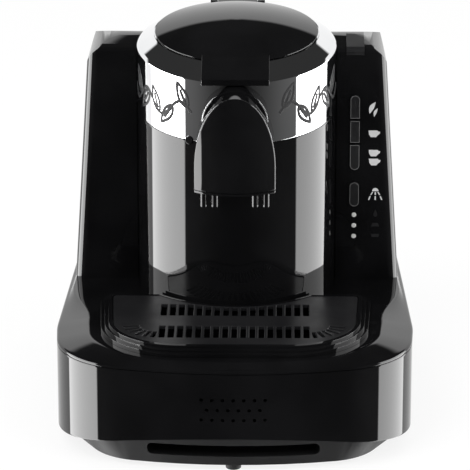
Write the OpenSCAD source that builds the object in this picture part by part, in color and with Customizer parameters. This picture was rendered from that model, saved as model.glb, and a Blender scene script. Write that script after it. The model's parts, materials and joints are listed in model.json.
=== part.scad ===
// Electric Turkish coffee maker: a fixed brewing pot under a hinged lid, a spout that fills two
// cups, a lift-out drip tray and a lift-off water tank at the back.
// Millimetres. +Z is up, +X is the right-hand side seen from the front, -Y is the front.
// The origin is the middle of the footprint, on the surface that the machine stands on.

/* [Base] */
// How far the base stands out on each side of the housing
base_margin = 6.6; // [6:0.2:10]
// Depth of the base in front of the column
bay_d = 103.5; // [100:0.5:108]
// Depth of the base behind the column
tank_d = 27.5; // [27:0.5:32]
// Height of the deck above the table
deck_z = 78; // [75:1:82]
// Height of the rounded edge of the deck
deck_edge = 6; // [4:0.5:7]
// Lowest point of the front panel, in the middle
panel_low = 25.5; // [24:0.5:28]
// How far the arched lower edge of the panel drops at the sides
panel_arch = 13.5; // [10:0.5:15]
// Wall of the moulded covers
wall = 2.6; // [2.2:0.1:3]
// Height of the feet under the chassis
foot_h = 4; // [3:0.5:5]
// Radius of the four corner feet
foot_r = 9; // [7:0.5:10]
// Width of the finger recess in the skirt
recess_w = 116; // [90:1:124]
// Height of the finger recess
recess_h = 9; // [8:0.5:10]
// Depth of the finger recess
recess_d = 24; // [18:1:30]

/* [Drip tray] */
// How far the tray's rear ears reach out beside the column
tray_ear_w = 25; // [21:0.5:26.5]
// Gap between the front of the base and the tray
tray_front_gap = 16; // [13:0.5:20]
// Depth of the basin below the deck
tray_depth = 22; // [16:1:26]
// Height of the stepped rim above the deck
tray_rim = 6.6; // [5:0.2:8]
// Thickness of the grille
grille_t = 2.4; // [2:0.1:3]
// Spacing of the slots in the grille
slot_pitch = 6.1; // [5.6:0.1:7]
// Width of one slot
slot_w = 4; // [3:0.1:4.4]
// Length of one slot
slot_len = 22; // [16:1:23]

/* [Column] */
// Height of the lower edge of the chrome collar, at the column's axis
band_z = 207.5; // [204:0.5:209]
// Height of the collar's rim, at the column's axis
rim_z = 260.5; // [258:0.5:263]
// Forward tilt of the collar and the lid
tilt = 6.5; // [5:0.5:8]
// Width of the flat rim round the pot
rim_w = 13; // [12:0.5:14]
// Width of the bevel round the rim
bevel_w = 12.5; // [11.5:0.5:13.5]
// Height of the bevel round the rim
bevel_h = 8.6; // [7:0.2:9]

/* [Brewing pot] */
// Outer radius of the pot
pot_r = 44; // [40:0.5:45]
// Depth of the pot below its flange
pot_depth = 84; // [70:1:88]
// Wall of the pot
pot_wall = 1.4; // [1:0.1:2]

/* [Lid] */
// Rise of the dome above the rim
dome_rise = 9; // [7:0.5:10]
// Wall of the lid
lid_wall = 2.6; // [2:0.1:3]
// Width of the lid's front tab
tab_w = 46; // [38:1:50]

/* [Spout] */
// Width of the spout cover at its foot
spout_w = 55.2; // [50:0.5:58]
// Height of the top of the spout cover
spout_top = 241.7; // [240:0.1:242]
// Height of the foot of the spout cover
spout_foot = 173; // [171:0.5:178]
// How far the spout cover stands out from the column
spout_reach = 33; // [30:0.5:36]
// Wall of the spout cover
spout_wall = 2; // [1.6:0.1:2.4]
// Radius of the round neck behind the cover
neck_r = 22.5; // [21:0.5:23]
// Height of the neck's axis
neck_z = 219.5; // [218:0.5:221]
// Length of the nozzles below the cover
nozzle_len = 11; // [8:0.5:14]
// Distance of the outer nozzles from the middle
nozzle_outer_x = 21.2; // [20:0.1:22]
// Distance of the inner nozzles from the middle
nozzle_inner_x = 13.7; // [12:0.1:15]

/* [Housing] */
// Width of each wing of the housing beside the column, at the deck
wing_w = 45.9; // [44:0.1:46]
// How far each side of the housing leans in up to its shoulder
side_lean = 10.9; // [9:0.1:12]
// Height of the front top edge of the housing
shoulder_z = 247.5; // [246:0.5:250]
// Height of the crown of the housing
crown_z = 258; // [256:0.5:260]
// Depth of the front wings
wing_d = 24; // [20:1:28]
// Height of the seam between the housing and the tank lid
seam_z = 227; // [224:0.5:228]

/* [Controls] */
// Width of the buttons
button_w = 6.6; // [6:0.1:7.4]
// Distance of the buttons from the side of the column
button_side = 13.5; // [12:0.5:16]
// Travel of the buttons
button_travel = 1.2; // [0.8:0.1:1.4]
// Diameter of the indicator lenses
lens_d = 3.4; // [3:0.1:4]

/* [Hidden] */
$fn = 96;

// Clearances: a sliding fit, a seat, a lift-off part and the overshoot of a cutter
fit = 0.05;
seat = 0.3;
lift_gap = 0.6;
over = 1;
span = 400;

// ---- outlines with rounded corners; a corner is [x, y, radius] ----
arc_steps = 8;
function unit(v) = v / norm(v);
function place(c) = [c[0], c[1]];
function arc_points(centre, r, a, turn) =
    [for (i = [0:arc_steps]) centre + r * [cos(a + turn * i / arc_steps), sin(a + turn * i / arc_steps)]];
function shortest(turn) = turn > 180 ? turn - 360 : turn < -180 ? turn + 360 : turn;
function half_angle(a, b, c) = acos(unit(place(a) - place(b)) * unit(place(c) - place(b))) / 2;
function inward(a, b, c) = unit(unit(place(a) - place(b)) + unit(place(c) - place(b)));
function corner_arc(a, b, c) =
    let (half = half_angle(a, b, c),
         centre = place(b) + inward(a, b, c) * b[2] / sin(half),
         reach = b[2] / tan(half),
         first = place(b) + unit(place(a) - place(b)) * reach - centre,
         last = place(b) + unit(place(c) - place(b)) * reach - centre,
         a0 = atan2(first[1], first[0]),
         a1 = atan2(last[1], last[0]))
    b[2] <= 0 ? [place(b)] : arc_points(centre, b[2], a0, shortest(a1 - a0));
function moved_corner(a, b, c, gap) =
    let (p = place(b) + inward(a, b, c) * gap / sin(half_angle(a, b, c)))
    [p[0], p[1], max(b[2] - gap, 0)];
function inset(corners, gap) =
    let (n = len(corners))
    [for (i = [0:n - 1]) moved_corner(corners[(i + n - 1) % n], corners[i], corners[(i + 1) % n], gap)];
function outline(corners, gap = 0) =
    let (n = len(corners), c = inset(corners, gap))
    [for (i = [0:n - 1]) each corner_arc(c[(i + n - 1) % n], c[i], c[(i + 1) % n])];
function mirrored(half) =
    concat(half, [for (i = [len(half) - 1:-1:0]) [-half[i][0], half[i][1], half[i][2]]]);
// How far the vertex of a rounded corner stands off its arc
function vertex_rise(r, sweep) = r * (1 / cos(sweep) - 1);

// ---- widths and depths, from the pot outwards ----
rim_r = pot_r + rim_w;
column_r = rim_r + bevel_w;
housing_w = 2 * (column_r + wing_w);
shoulder_w = housing_w - 2 * side_lean;
base_w = housing_w + 2 * base_margin;
base_d = bay_d + 2 * column_r + tank_d;
tray_w = 2 * (column_r + tray_ear_w);
button_x = column_r + button_side;

// ---- base ----
front_r = 304;
front_sweep = 13.3;
corner_r = 58;
side_crown = 0.56;
side_r = 150;
rear_taper = 7.5;
rear_r = 22;
front_y = -base_d / 2;
back_y = base_d / 2;
side_peak_y = front_y + 85;
front_vertex = front_y - vertex_rise(front_r, front_sweep);
function front_corner(inboard, setback, r) =
    let (x = base_w / 2 - inboard)
    [x, front_vertex + setback + x * tan(front_sweep), r];
base_plan = concat(
    [[0, front_vertex, front_r]],
    mirrored([
        front_corner(4, 0, corner_r),
        [base_w / 2 + side_crown, side_peak_y, side_r],
        [base_w / 2 - rear_taper, back_y, rear_r]
    ])
);
skirt_setback = 7.6;
skirt_corner_r = 40;
skirt_side_r = 60;
skirt_plan = concat(
    [[0, front_vertex + skirt_setback, front_r]],
    mirrored([
        front_corner(36, skirt_setback, skirt_corner_r),
        [base_w / 2 + side_crown - 0.5, side_peak_y, skirt_side_r],
        [base_w / 2 - rear_taper - 2, back_y - 3, rear_r]
    ])
);
parting_z = deck_z - deck_edge;
arch_r = (pow(base_w / 2, 2) + pow(panel_arch, 2)) / (2 * panel_arch);
panel_steps = 12;
skirt_top = panel_low + 1;
skirt_reveal = 0.8;
floor_t = 3;
floor_z = foot_h + floor_t;
upstand = wall + seat;
deck_t = 3;
deck_under = deck_z - deck_t;

// ---- column, collar and lid: the lid's frame is tilted forward about the rim's centre ----
column_y = back_y - tank_d - column_r;
column_wall = 2.5;
column_front = column_y - column_r;
column_bore = column_r - column_wall;
seam = 0.3;
rebate_h = 3.5;
deck_hole_r = column_bore - 4;
ledge_h = 7;
mouth_r = rim_r - 7;
hinge_offset = 4.5;
hinge_drop = 3.5;
hinge_y = rim_r + hinge_offset;
barrel_r = 3.5;
barrel_w = 28;
lug_w = 5;
pin_r = 2;

// ---- drip tray ----
tray_front = front_y + tray_front_gap;
tray_rear = column_y - 44;
tray_corner_r = 56;
tray_taper = 6;
tray_ear_r = 12;
tray_plan = mirrored([
    [tray_w / 2 - tray_taper, tray_front, tray_corner_r],
    [tray_w / 2, tray_rear, tray_ear_r]
]);
tray_column_gap = 1.2;
// The rim and its steps are narrower round the column
column_rim_share = 0.45;
function tray_hollow_r(gap) = column_r + tray_column_gap + gap * column_rim_share;
tray_wall = 2.2;
rim_ring = 8.2;
rim_step = 2.6;
tray_opening = rim_ring + 0.2;
basin_inset = tray_opening + lift_gap;
tray_floor = deck_z - tray_depth;
grille_gap = 0.4;
grille_top = deck_z + tray_rim - 0.6;
ledge_z = grille_top - grille_t - 0.1;

// ---- housing ----
housing_rear_taper = 4.9;
housing_front_r = 8;
housing_rear_r = 20;
rear_lean = 3.5;
side_slope = (housing_w - shoulder_w) / 2 / (shoulder_z - deck_z);
plan_top_z = crown_z + 12;
function housing_half(z) = housing_w / 2 - (z - deck_z) * side_slope;
function housing_plan(z, lean) = mirrored([
    [housing_half(z), column_y, housing_front_r],
    [housing_half(z) - housing_rear_taper, back_y - lean, housing_rear_r]
]);
crown_r = 513;
crown_sweep = 10;
shoulder_r = 19;
crown_vertex = crown_z + vertex_rise(crown_r, crown_sweep);
crown_outline = concat(
    [[0, crown_vertex, crown_r]],
    [[-shoulder_w / 2, crown_vertex - shoulder_w / 2 * tan(crown_sweep), shoulder_r]],
    [[-housing_half(0), 0, 0]],
    [[housing_half(0), 0, 0]],
    [[shoulder_w / 2, crown_vertex - shoulder_w / 2 * tan(crown_sweep), shoulder_r]]
);
brow_rise = 0.16;
brow_y = column_y + 30;
brow_z = shoulder_z + (brow_y - column_y) * brow_rise;
rear_fall = 0.29;
rear_edge_z = brow_z - (back_y - brow_y) * rear_fall;
profile_outline = [
    [column_y, 0, 0],
    [back_y, 0, 0],
    [back_y, rear_edge_z, 6],
    [brow_y, brow_z, 34],
    [column_y, shoulder_z, 3]
];
wing_y = column_y + wing_d;
cap_y = column_y + 8;
partition_gap = 0.5;
partition_r = column_r + partition_gap;
partition_t = 2.2;
cap_gap = 1;

// ---- tank ----
tank_gap = 0.4;
tank_y = wing_y + tank_gap;
tank_floor = deck_z + seat;
tank_wall = 2.4;
tank_hollow_r = partition_r + partition_t + lift_gap;
tank_hinge_y = back_y - 9;
knuckle_r = 6.4;
knuckle_gap = 0.5;
tank_hinge_z = rear_edge_z + (back_y - tank_hinge_y) * rear_fall - 3.4;
tank_barrel_r = 2.6;
tank_barrel_w = 50;
tank_pin_r = 1.2;
tank_pin_over = 6;
valve_x = -30;
valve_y = (column_y + tank_hollow_r + back_y) / 2 - 5;
valve_r = 8;
socket_wall = 1.6;

// ---- pump ----
pump_r = 16;
pump_z = 30;
pump_len = 20;
motor_r = 13;
motor_len = 38;
hose_r = 3.5;
hose_bore = 2;
bend_r = 8;
shaft_r = 1.5;
// The outlet hose rises midway between the pot's flange and the wall of the column
flange_r = mouth_r - 0.4;
outlet_y = column_y + sqrt(pow((flange_r + column_bore) / 2, 2) - valve_x * valve_x);
pump_y = outlet_y - pump_len / 2;

// ---- pot ----
flange_z = 6.3;
flange_t = 2;
pot_floor_z = flange_z + pot_depth;
heater_t = 7;
heater_r = pot_r - 5;
carrier_r = pot_r - 4;
carrier_wall = 2.5;
pot_axis_y = column_y + pot_floor_z * sin(tilt);

// ---- spout ----
tube_r = 3;
tube_z = band_z - 17.5;
tube_y = column_front + 12.5;
cover_front = column_front - spout_reach;
cover_face_r = 44;
neck_front = column_front - 15;
spout_arch_z = spout_foot + 17;
spout_arch_h = spout_top - spout_arch_z;
nozzle_y = column_front - 20;
nozzle_r = 2.2;
nozzle_bore = 1.3;
manifold_h = 14;

// ---- controls: [lower z, upper z] of each button, from the bottom of the housing ----
rinse_z = [deck_z + 54.8, deck_z + 72.6];
two_cup_z = [deck_z + 81.9, deck_z + 100.2];
one_cup_z = [deck_z + 102, deck_z + 117.8];
roast_z = [deck_z + 119.6, deck_z + 136.4];
lens_z = [for (i = [0:2]) deck_z + 48.2 - i * 7.95];
button_gap = 0.2;
button_proud = 1.1;
button_flange = 1;
panel_back = column_y + wall;
flange_y = panel_back + 0.1;
flange_h = 1.4;
stem_y = flange_y + flange_h;
board_y = panel_back + 7.2;
board_t = 1.6;
switch_h = 2;
switch_tip = 0.5;
board_x = [button_x - 8, housing_w / 2 - 14.4];
board_z = [deck_z + 22, deck_z + 143];
post_r = 2.6;
post_bore = 1;

// ======== shared shapes ========
module prism(points, z0, z1) {
    translate([0, 0, z0])
        linear_extrude(height = z1 - z0)
            polygon(points);
}

// A short cylinder or pipe along X
module rod_x(r, x0, x1) {
    translate([x0, 0, 0])
        rotate([0, 90, 0])
            cylinder(r = r, h = x1 - x0);
}

// A short cylinder or pipe along Y
module rod_y(r, y0, y1) {
    translate([0, y1, 0])
        rotate([90, 0, 0])
            cylinder(r = r, h = y1 - y0);
}

// Children placed in the tilted frame of the lid, whose origin is the middle of the rim
module at_rim() {
    translate([0, column_y, rim_z])
        rotate([tilt, 0, 0])
            children();
}

// Everything above the tilted plane that cuts the column's axis at height z
module above_plane(z) {
    translate([0, column_y, z])
        rotate([tilt, 0, 0])
            translate([-span / 2, -span / 2, 0])
                cube([span, span, span]);
}

module column_cylinder(r, z0, z1) {
    translate([0, column_y, z0])
        cylinder(r = r, h = z1 - z0);
}

// A box from one corner to the other
module block(a, b) {
    translate(a)
        cube(b - a);
}

// The space below the arched lower edge of the panel
module under_arch() {
    half = base_w / 2 + 2 * over;
    sweep = asin(half / arch_r);
    translate([0, span / 2, 0])
        rotate([90, 0, 0])
            linear_extrude(height = span)
                polygon(concat(
                    [[-half, -over], [half, -over]],
                    [for (i = [-panel_steps:panel_steps])
                        let (a = -i * sweep / panel_steps)
                        [arch_r * sin(a), panel_low - arch_r * (1 - cos(a))]]
                ));
}

module tray_solid(gap, z0, z1) {
    difference() {
        prism(outline(tray_plan, gap), z0, z1);
        column_cylinder(tray_hollow_r(gap), z0 - over, z1 + over);
    }
}

// The rear housing's outer form, moved inwards by a gap
module housing_form(gap) {
    intersection() {
        hull() {
            prism(outline(housing_plan(deck_z, 0), gap), deck_z - over, deck_z);
            prism(outline(housing_plan(plan_top_z, rear_lean), gap), plan_top_z, plan_top_z + over);
        }
        translate([0, span / 2, 0])
            rotate([90, 0, 0])
                linear_extrude(height = span)
                    polygon(outline(crown_outline, gap));
        translate([-span / 2, 0, 0])
            rotate([90, 0, 90])
                linear_extrude(height = span)
                    polygon(outline(profile_outline, gap));
    }
}

// A button's outline, round at its upper or lower end, along Y
module button_form(z, round_low, round_high, grow, y0, y1) {
    r = button_w / 2;
    low = z[0] + (round_low ? r : 0);
    high = z[1] - (round_high ? r : 0);
    translate([button_x - r - grow, y0, low - (round_low ? 0 : grow)])
        cube([2 * (r + grow), y1 - y0, high - low + (round_low ? 0 : grow) + (round_high ? 0 : grow)]);
    if (round_low)
        translate([button_x, 0, low])
            rod_y(r + grow, y0, y1);
    if (round_high)
        translate([button_x, 0, high])
            rod_y(r + grow, y0, y1);
}

module button(z, round_low, round_high) {
    button_form(z, round_low, round_high, 0, column_y - button_proud, flange_y + over / 2);
    button_form(z, false, false, button_flange - 0.4, flange_y, stem_y);
    translate([button_x, 0, (z[0] + z[1]) / 2])
        rod_y(1.2, stem_y - over / 2, board_y - switch_h - switch_tip - button_travel);
}

module quarter_bend(r_bend, r_tube) {
    rotate_extrude(angle = 90)
        translate([r_bend, 0])
            circle(r = r_tube);
}

// A soft hose: down along Z from the top, then a bend, then along -Y or +Y
module hose_down(x, y, z_top, z_low, y_end) {
    way = y_end > y ? 1 : -1;
    translate([x, y, z_low + bend_r]) {
        difference() {
            cylinder(r = hose_r, h = z_top - z_low - bend_r);
            translate([0, 0, -over])
                cylinder(r = hose_bore, h = z_top - z_low - bend_r + 2 * over);
        }
    }
    translate([x, y + way * bend_r, z_low + bend_r])
        rotate([0, 90, 0])
            rotate([0, 0, way > 0 ? 270 : 0])
                difference() {
                    quarter_bend(bend_r, hose_r);
                    quarter_bend(bend_r, hose_bore);
                }
    translate([x, 0, z_low])
        difference() {
            rod_y(hose_r, min(y + way * bend_r, y_end), max(y + way * bend_r, y_end));
            rod_y(hose_bore, min(y + way * bend_r, y_end) - over, max(y + way * bend_r, y_end) + over);
        }
}

// ======== base ========
screw_rows = [[26, front_y + 73], [16, column_y - 18], [30, back_y - 22]];
screw_places = [for (row = screw_rows, side = [-1, 1]) [side * (base_w / 2 - row[0]), row[1]]];
boss_r = 4.6;
boss_split = 40;
screw_head_z = 12;
screw_head_r = 3.4;
screw_head_h = 2.4;
screw_shank_r = 1.5;
foot_rows = [[38, front_y + 63], [52, back_y - 25]];
foot_places = [for (row = foot_rows, side = [-1, 1]) [side * (base_w / 2 - row[0]), row[1]]];
front_foot_r = 5.3;
front_foot_y = front_y + skirt_setback + front_foot_r + 0.6;
foot_sink = 1;
recess_z = panel_low - 5.6 - recess_h;
recess_r = 3.5;
board_post_z = 13;
power_board_at = [-48, front_y + skirt_setback + recess_d + 2 * wall + 2];
power_board_size = [84, 62];
power_posts = [for (i = [0, 1], j = [0, 1])
    power_board_at + [5 + i * (power_board_size[0] - 10), 5 + j * (power_board_size[1] - 10)]];

module chassis_form(bottom_gap, top_gap, z0) {
    hull() {
        prism(outline(skirt_plan, bottom_gap), z0, z0 + over / 5);
        prism(outline(base_plan, top_gap), skirt_top - over / 5, skirt_top);
    }
}

// The finger recess, grown by a gap
module recess_form(gap, y0, y1) {
    half = recess_w / 2;
    translate([0, y1, 0])
        rotate([90, 0, 0])
            linear_extrude(height = y1 - y0)
                polygon(outline(mirrored([
                    [half, recess_z, recess_r],
                    [half, recess_z + recess_h, recess_r]
                ]), -gap));
}

module bottom_chassis() {
    recess_back = front_y + skirt_setback + recess_d;
    color("#1b1b1d")
    difference() {
        union() {
            difference() {
                chassis_form(0, skirt_reveal, foot_h);
                difference() {
                    chassis_form(wall, upstand + wall, floor_z);
                    recess_form(wall, front_y, recess_back + wall);
                }
                translate([0, 0, skirt_top])
                    cube([span, span, 2 * over / 5], center = true);
            }
            for (p = screw_places)
                translate([p[0], p[1], floor_z - over])
                    cylinder(r = boss_r, h = boss_split - floor_z + over);
            for (p = power_posts)
                translate([p[0], p[1], floor_z - over])
                    cylinder(r = 3, h = board_post_z - floor_z + over);
        }
        // the upstand stands back behind the panel above its arched edge
        difference() {
            translate([0, 0, -span / 2])
                linear_extrude(height = span)
                    difference() {
                        square(span, center = true);
                        polygon(outline(base_plan, upstand));
                    }
            under_arch();
        }
        recess_form(0, front_y - over, recess_back);
        for (p = screw_places) {
            translate([p[0], p[1], -over])
                cylinder(r = screw_head_r + seat, h = screw_head_z + over);
            translate([p[0], p[1], 0])
                cylinder(r = screw_shank_r + seat, h = span);
        }
        for (p = foot_places)
            translate([p[0], p[1], -over])
                cylinder(r = foot_r, h = foot_h + foot_sink + over);
        translate([0, front_foot_y, -over])
            cylinder(r = front_foot_r, h = foot_h + foot_sink + over);
        for (p = power_posts)
            translate([p[0], p[1], floor_z + over])
                cylinder(r = 1.1, h = span);
    }
}

module rubber_feet() {
    color("#101010") {
        for (p = foot_places)
            translate([p[0], p[1], 0])
                cylinder(r = foot_r - fit, h = foot_h + foot_sink);
        translate([0, front_foot_y, 0])
            cylinder(r = front_foot_r - fit, h = foot_h + foot_sink);
    }
}

// speaker holes: two rows of seven with a row of six between
hole_pitch = 7.1;
hole_r = 1.2;
hole_z = parting_z - 25.6;
hole_rows = [[7, 1], [6, 0], [7, -1]];
switch_x = 56 - base_w / 2;
switch_z = 44;
switch_w = 15;
switch_h_rear = 21;
well_d = 5;
well_gap = 4;
gland_x = base_w / 2 - 62;
gland_z = 34;
gland_r = 5.5;
gland_flange_r = 9;
gland_sink = 1.4;

// The wall of the base: the front and the sides are one moulding, the rear panel another
module base_wall() {
    difference() {
        union() {
            difference() {
                prism(outline(base_plan), foot_h + over, parting_z - seam);
                prism(outline(base_plan, wall), 0, span);
            }
            // pocket of the mains switch
            block([switch_x - switch_w / 2 - well_gap - 2, back_y - well_d - 2,
                   switch_z - switch_h_rear / 2 - well_gap - 2],
                  [switch_x + switch_w / 2 + well_gap + 2, back_y - over / 2,
                   switch_z + switch_h_rear / 2 + well_gap + 2]);
        }
        under_arch();
        for (row = hole_rows, i = [0:row[0] - 1])
            translate([(i - (row[0] - 1) / 2) * hole_pitch, 0, hole_z + row[1] * hole_pitch])
                rod_y(hole_r, front_y - over, front_y + wall + 3);
        block([switch_x - switch_w / 2 - well_gap, back_y - well_d,
               switch_z - switch_h_rear / 2 - well_gap],
              [switch_x + switch_w / 2 + well_gap, back_y + over,
               switch_z + switch_h_rear / 2 + well_gap]);
        block([switch_x - switch_w / 2 + over, back_y - well_d - 3, switch_z - switch_h_rear / 2 + over],
              [switch_x + switch_w / 2 - over, back_y, switch_z + switch_h_rear / 2 - over]);
        translate([gland_x, 0, gland_z]) {
            rod_y(gland_r + fit, back_y - wall - over, back_y + over);
            rod_y(gland_flange_r + fit, back_y - gland_sink, back_y + over);
        }
    }
}

rear_panel_half = base_w / 2 - 32;
module base_body() {
    half = rear_panel_half + seam;
    color("#0b0b0d")
    difference() {
        base_wall();
        block([-half, back_y - well_d - 3, 0], [half, span, span]);
    }
}

module rear_panel() {
    half = rear_panel_half;
    color("#0b0b0d")
    intersection() {
        base_wall();
        block([-half, back_y - well_d - 3, 0], [half, span, span]);
    }
}

module base_deck() {
    edge_slices = 4;
    color("#0c0c0e")
    difference() {
        union() {
            difference() {
                hull()
                    for (i = [0:edge_slices])
                        prism(outline(base_plan, deck_edge * (1 - cos(90 * i / edge_slices))),
                              parting_z + deck_edge * sin(90 * i / edge_slices) - (i == 0 ? 0 : 0.2),
                              parting_z + deck_edge * sin(90 * i / edge_slices) + (i == 0 ? 0.2 : 0));
                prism(outline(base_plan, wall + 1), 0, deck_under);
            }
            // spigot that centres the deck in the body
            difference() {
                prism(outline(base_plan, wall + seat), parting_z - 4, deck_under + over);
                prism(outline(base_plan, wall + seat + 2), 0, deck_under);
            }
            for (p = screw_places)
                translate([p[0], p[1], boss_split + seat])
                    cylinder(r = boss_r, h = deck_under - boss_split);
        }
        tray_solid(tray_opening, 0, span);
        column_cylinder(deck_hole_r, 0, span);
        translate([valve_x, valve_y, 0])
            cylinder(r = valve_r + lift_gap + socket_wall + fit, h = span);
        for (p = screw_places)
            translate([p[0], p[1], boss_split - over])
                cylinder(r = screw_shank_r, h = 16);
        // slot for the control wiring
        block([button_x - 3, column_y + 14, 0], [button_x + 15, column_y + 18, span]);
    }
}

module chassis_screws() {
    color("#b9bcc0")
    for (p = screw_places)
        translate([p[0], p[1], 0])
            difference() {
                union() {
                    translate([0, 0, screw_head_z - screw_head_h])
                        cylinder(r = screw_head_r, h = screw_head_h);
                    translate([0, 0, screw_head_z - over / 2])
                        cylinder(r = screw_shank_r - fit, h = boss_split + 12 - screw_head_z);
                }
                translate([0, 0, screw_head_z - screw_head_h - over])
                    cylinder(r = 1.4, h = over + 1.4, $fn = 6);
            }
}

// ======== drip tray ========
module drip_tray() {
    color("#0d0d0f")
    difference() {
        union() {
            tray_solid(0, deck_z + 0.1, deck_z + tray_rim * 0.45);
            tray_solid(rim_step, deck_z + over, deck_z + tray_rim * 0.77);
            tray_solid(2 * rim_step, deck_z + over, deck_z + tray_rim);
            tray_solid(basin_inset, tray_floor, deck_z + over);
        }
        tray_solid(basin_inset + tray_wall, tray_floor + tray_wall, ledge_z + over);
        tray_solid(rim_ring, ledge_z, span);
    }
}

// Two rows of slots across, and a fan of slots round each front corner
slot_rows = [tray_front + 44.3, tray_front + 64.8];
slots_each_side = 8;
fan_slots = 6;
fan_outer = slot_len + 2;
fan_inner = 13;
fan_step = 15;
fan_slot_w = slot_w * 0.65;
module grille_slot(x, y0, y1, w) {
    translate([x - w / 2, y0, ledge_z - over])
        cube([w, y1 - y0, grille_t + 3 * over]);
}

module drip_grille() {
    fan_x = (slots_each_side + 0.5) * slot_pitch;
    fan_y = slot_rows[0] - slot_len + fan_outer;
    border_r = tray_hollow_r(rim_ring + grille_gap) + 2.4;
    color("#161618")
    difference() {
        tray_solid(rim_ring + grille_gap, ledge_z + 0.1, ledge_z + 0.1 + grille_t);
        for (i = [-slots_each_side:slots_each_side]) {
            x = i * slot_pitch;
            rear_edge = column_y - sqrt(pow(border_r, 2) - x * x);
            grille_slot(x, slot_rows[0] - slot_len, slot_rows[0], slot_w);
            grille_slot(x, slot_rows[1], min(slot_rows[1] + slot_len, rear_edge), slot_w);
        }
        for (side = [-1, 1], i = [0:fan_slots - 1])
            translate([side * fan_x, fan_y, 0])
                rotate([0, 0, side * (i + 0.5) * fan_step])
                    grille_slot(0, -fan_outer, -fan_inner, fan_slot_w);
    }
}

// ======== inside the base ========
module buzzer() {
    buzzer_r = 15;
    buzzer_y = front_y + wall + seat;
    color("#22242a")
    translate([0, 0, hole_z])
        difference() {
            rod_y(buzzer_r, buzzer_y + 0.4, buzzer_y + 12);
            rod_y(buzzer_r - 2, buzzer_y - over, buzzer_y + 3);
        }
}

module power_board() {
    translate([power_board_at[0], power_board_at[1], board_post_z]) {
        color("#1d5b34")
        difference() {
            cube([power_board_size[0], power_board_size[1], 1.6]);
            for (i = [0, 1], j = [0, 1])
                translate([5 + i * (power_board_size[0] - 10), 5 + j * (power_board_size[1] - 10), -over])
                    cylinder(r = 1.4, h = 4);
        }
        color("#d8c24a")
            translate([14, 14, 1.6])
                cube([24, 28, 19]);
        color("#2255a8")
            translate([50, 12, 1.6])
                cube([15, 19, 15]);
        color("#222222")
            translate([56, 46, 1.6])
                cylinder(r = 6, h = 20);
    }
}

rocker_tilt = 8;
rocker_y = back_y - 8;
module power_switch_frame() {
    color("#141416")
    translate([switch_x, 0, switch_z])
        difference() {
            union() {
                block([-switch_w / 2 - 1.5, back_y - well_d, -switch_h_rear / 2 - 1.5],
                      [switch_w / 2 + 1.5, back_y - well_d + 1.6, switch_h_rear / 2 + 1.5]);
                block([-switch_w / 2 + over + fit, back_y - 26, -switch_h_rear / 2 + over + fit],
                      [switch_w / 2 - over - fit, back_y - well_d + over, switch_h_rear / 2 - over - fit]);
            }
            block([-switch_w / 2 + 2.6, back_y - 15, -switch_h_rear / 2 + 2.6],
                  [switch_w / 2 - 2.6, back_y, switch_h_rear / 2 - 2.6]);
            translate([0, rocker_y, 0])
                rod_x(1.5 + fit, -switch_w / 2 + 1.6, switch_w / 2 - 1.6);
        }
}

module power_rocker() {
    color("#8c1414")
    translate([switch_x, rocker_y, switch_z])
        rotate([rocker_tilt, 0, 0]) {
            intersection() {
                rod_x(switch_h_rear / 2 - 3.2, -switch_w / 2 + 3, switch_w / 2 - 3);
                block([-20, -1.8, -20], [20, 5.6, 20]);
            }
            rod_x(1.5, -switch_w / 2 + 1.9, switch_w / 2 - 1.9);
        }
}

module cord_gland() {
    color("#121212")
    translate([gland_x, 0, gland_z])
        difference() {
            union() {
                rod_y(gland_r, back_y - wall - 6, back_y - 0.1);
                rod_y(gland_flange_r, back_y - gland_sink, back_y);
                rod_y(gland_r + 2, back_y - wall - 6, back_y - wall - fit);
            }
            rod_y(3.4, back_y - 20, back_y + over);
        }
}

module pump_cradle() {
    color("#202020")
    translate([valve_x, 0, pump_z])
        difference() {
            union()
                for (y = [pump_y - motor_len + 6, pump_y - 12, pump_y + 7])
                    block([-15, y, floor_z - pump_z], [15, y + 6, 0]);
            rod_y(motor_r + fit, pump_y - motor_len - over, pump_y);
            rod_y(pump_r + fit, pump_y - fit, pump_y + pump_len + fit);
        }
}

module pump_housing() {
    color("#d9d9d4")
    translate([valve_x, 0, pump_z])
        difference() {
            union() {
                rod_y(pump_r, pump_y, pump_y + pump_len);
                rod_y(hose_bore - fit + 1, pump_y + pump_len - over, pump_y + pump_len + 8);
                translate([0, outlet_y, pump_r - 2])
                    cylinder(r = hose_bore - fit + 1, h = 10);
            }
            rod_y(pump_r - 3, pump_y + 5, pump_y + pump_len - 3);
            rod_y(1.6, pump_y + 6, pump_y + pump_len + 20);
            rod_y(shaft_r + fit, pump_y - over, pump_y + 8);
            translate([0, outlet_y, 5])
                cylinder(r = 1.6, h = pump_r + 10);
        }
}

module pump_impeller() {
    blades = 6;
    color("#c8a24a")
    translate([valve_x, 0, pump_z]) {
        rod_y(shaft_r, pump_y - 12, pump_y + 15);
        rod_y(4, pump_y + 6, pump_y + 14);
        rod_y(pump_r - 4, pump_y + 6, pump_y + 7.2);
        for (i = [0:blades - 1])
            rotate([0, i * 360 / blades, 0])
                block([2, pump_y + 7, -0.6], [pump_r - 4.4, pump_y + 14, 0.6]);
    }
}

module pump_motor() {
    color("#9a9ea3")
    translate([valve_x, 0, pump_z])
        difference() {
            union() {
                rod_y(motor_r, pump_y - motor_len, pump_y - 1.4);
                rod_y(5, pump_y - 2, pump_y - 0.1);
            }
            rod_y(shaft_r + fit, pump_y - 14, pump_y + over);
        }
}

inlet_y = pump_y + pump_len + 1;
module pump_inlet_hose() {
    color("#e8e4da")
        difference() {
            hose_down(valve_x, valve_y, deck_under - 19, pump_z, inlet_y);
            translate([valve_x, 0, pump_z])
                rod_y(hose_bore + 1, inlet_y - over, pump_y + pump_len + 8.2);
        }
}

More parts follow.
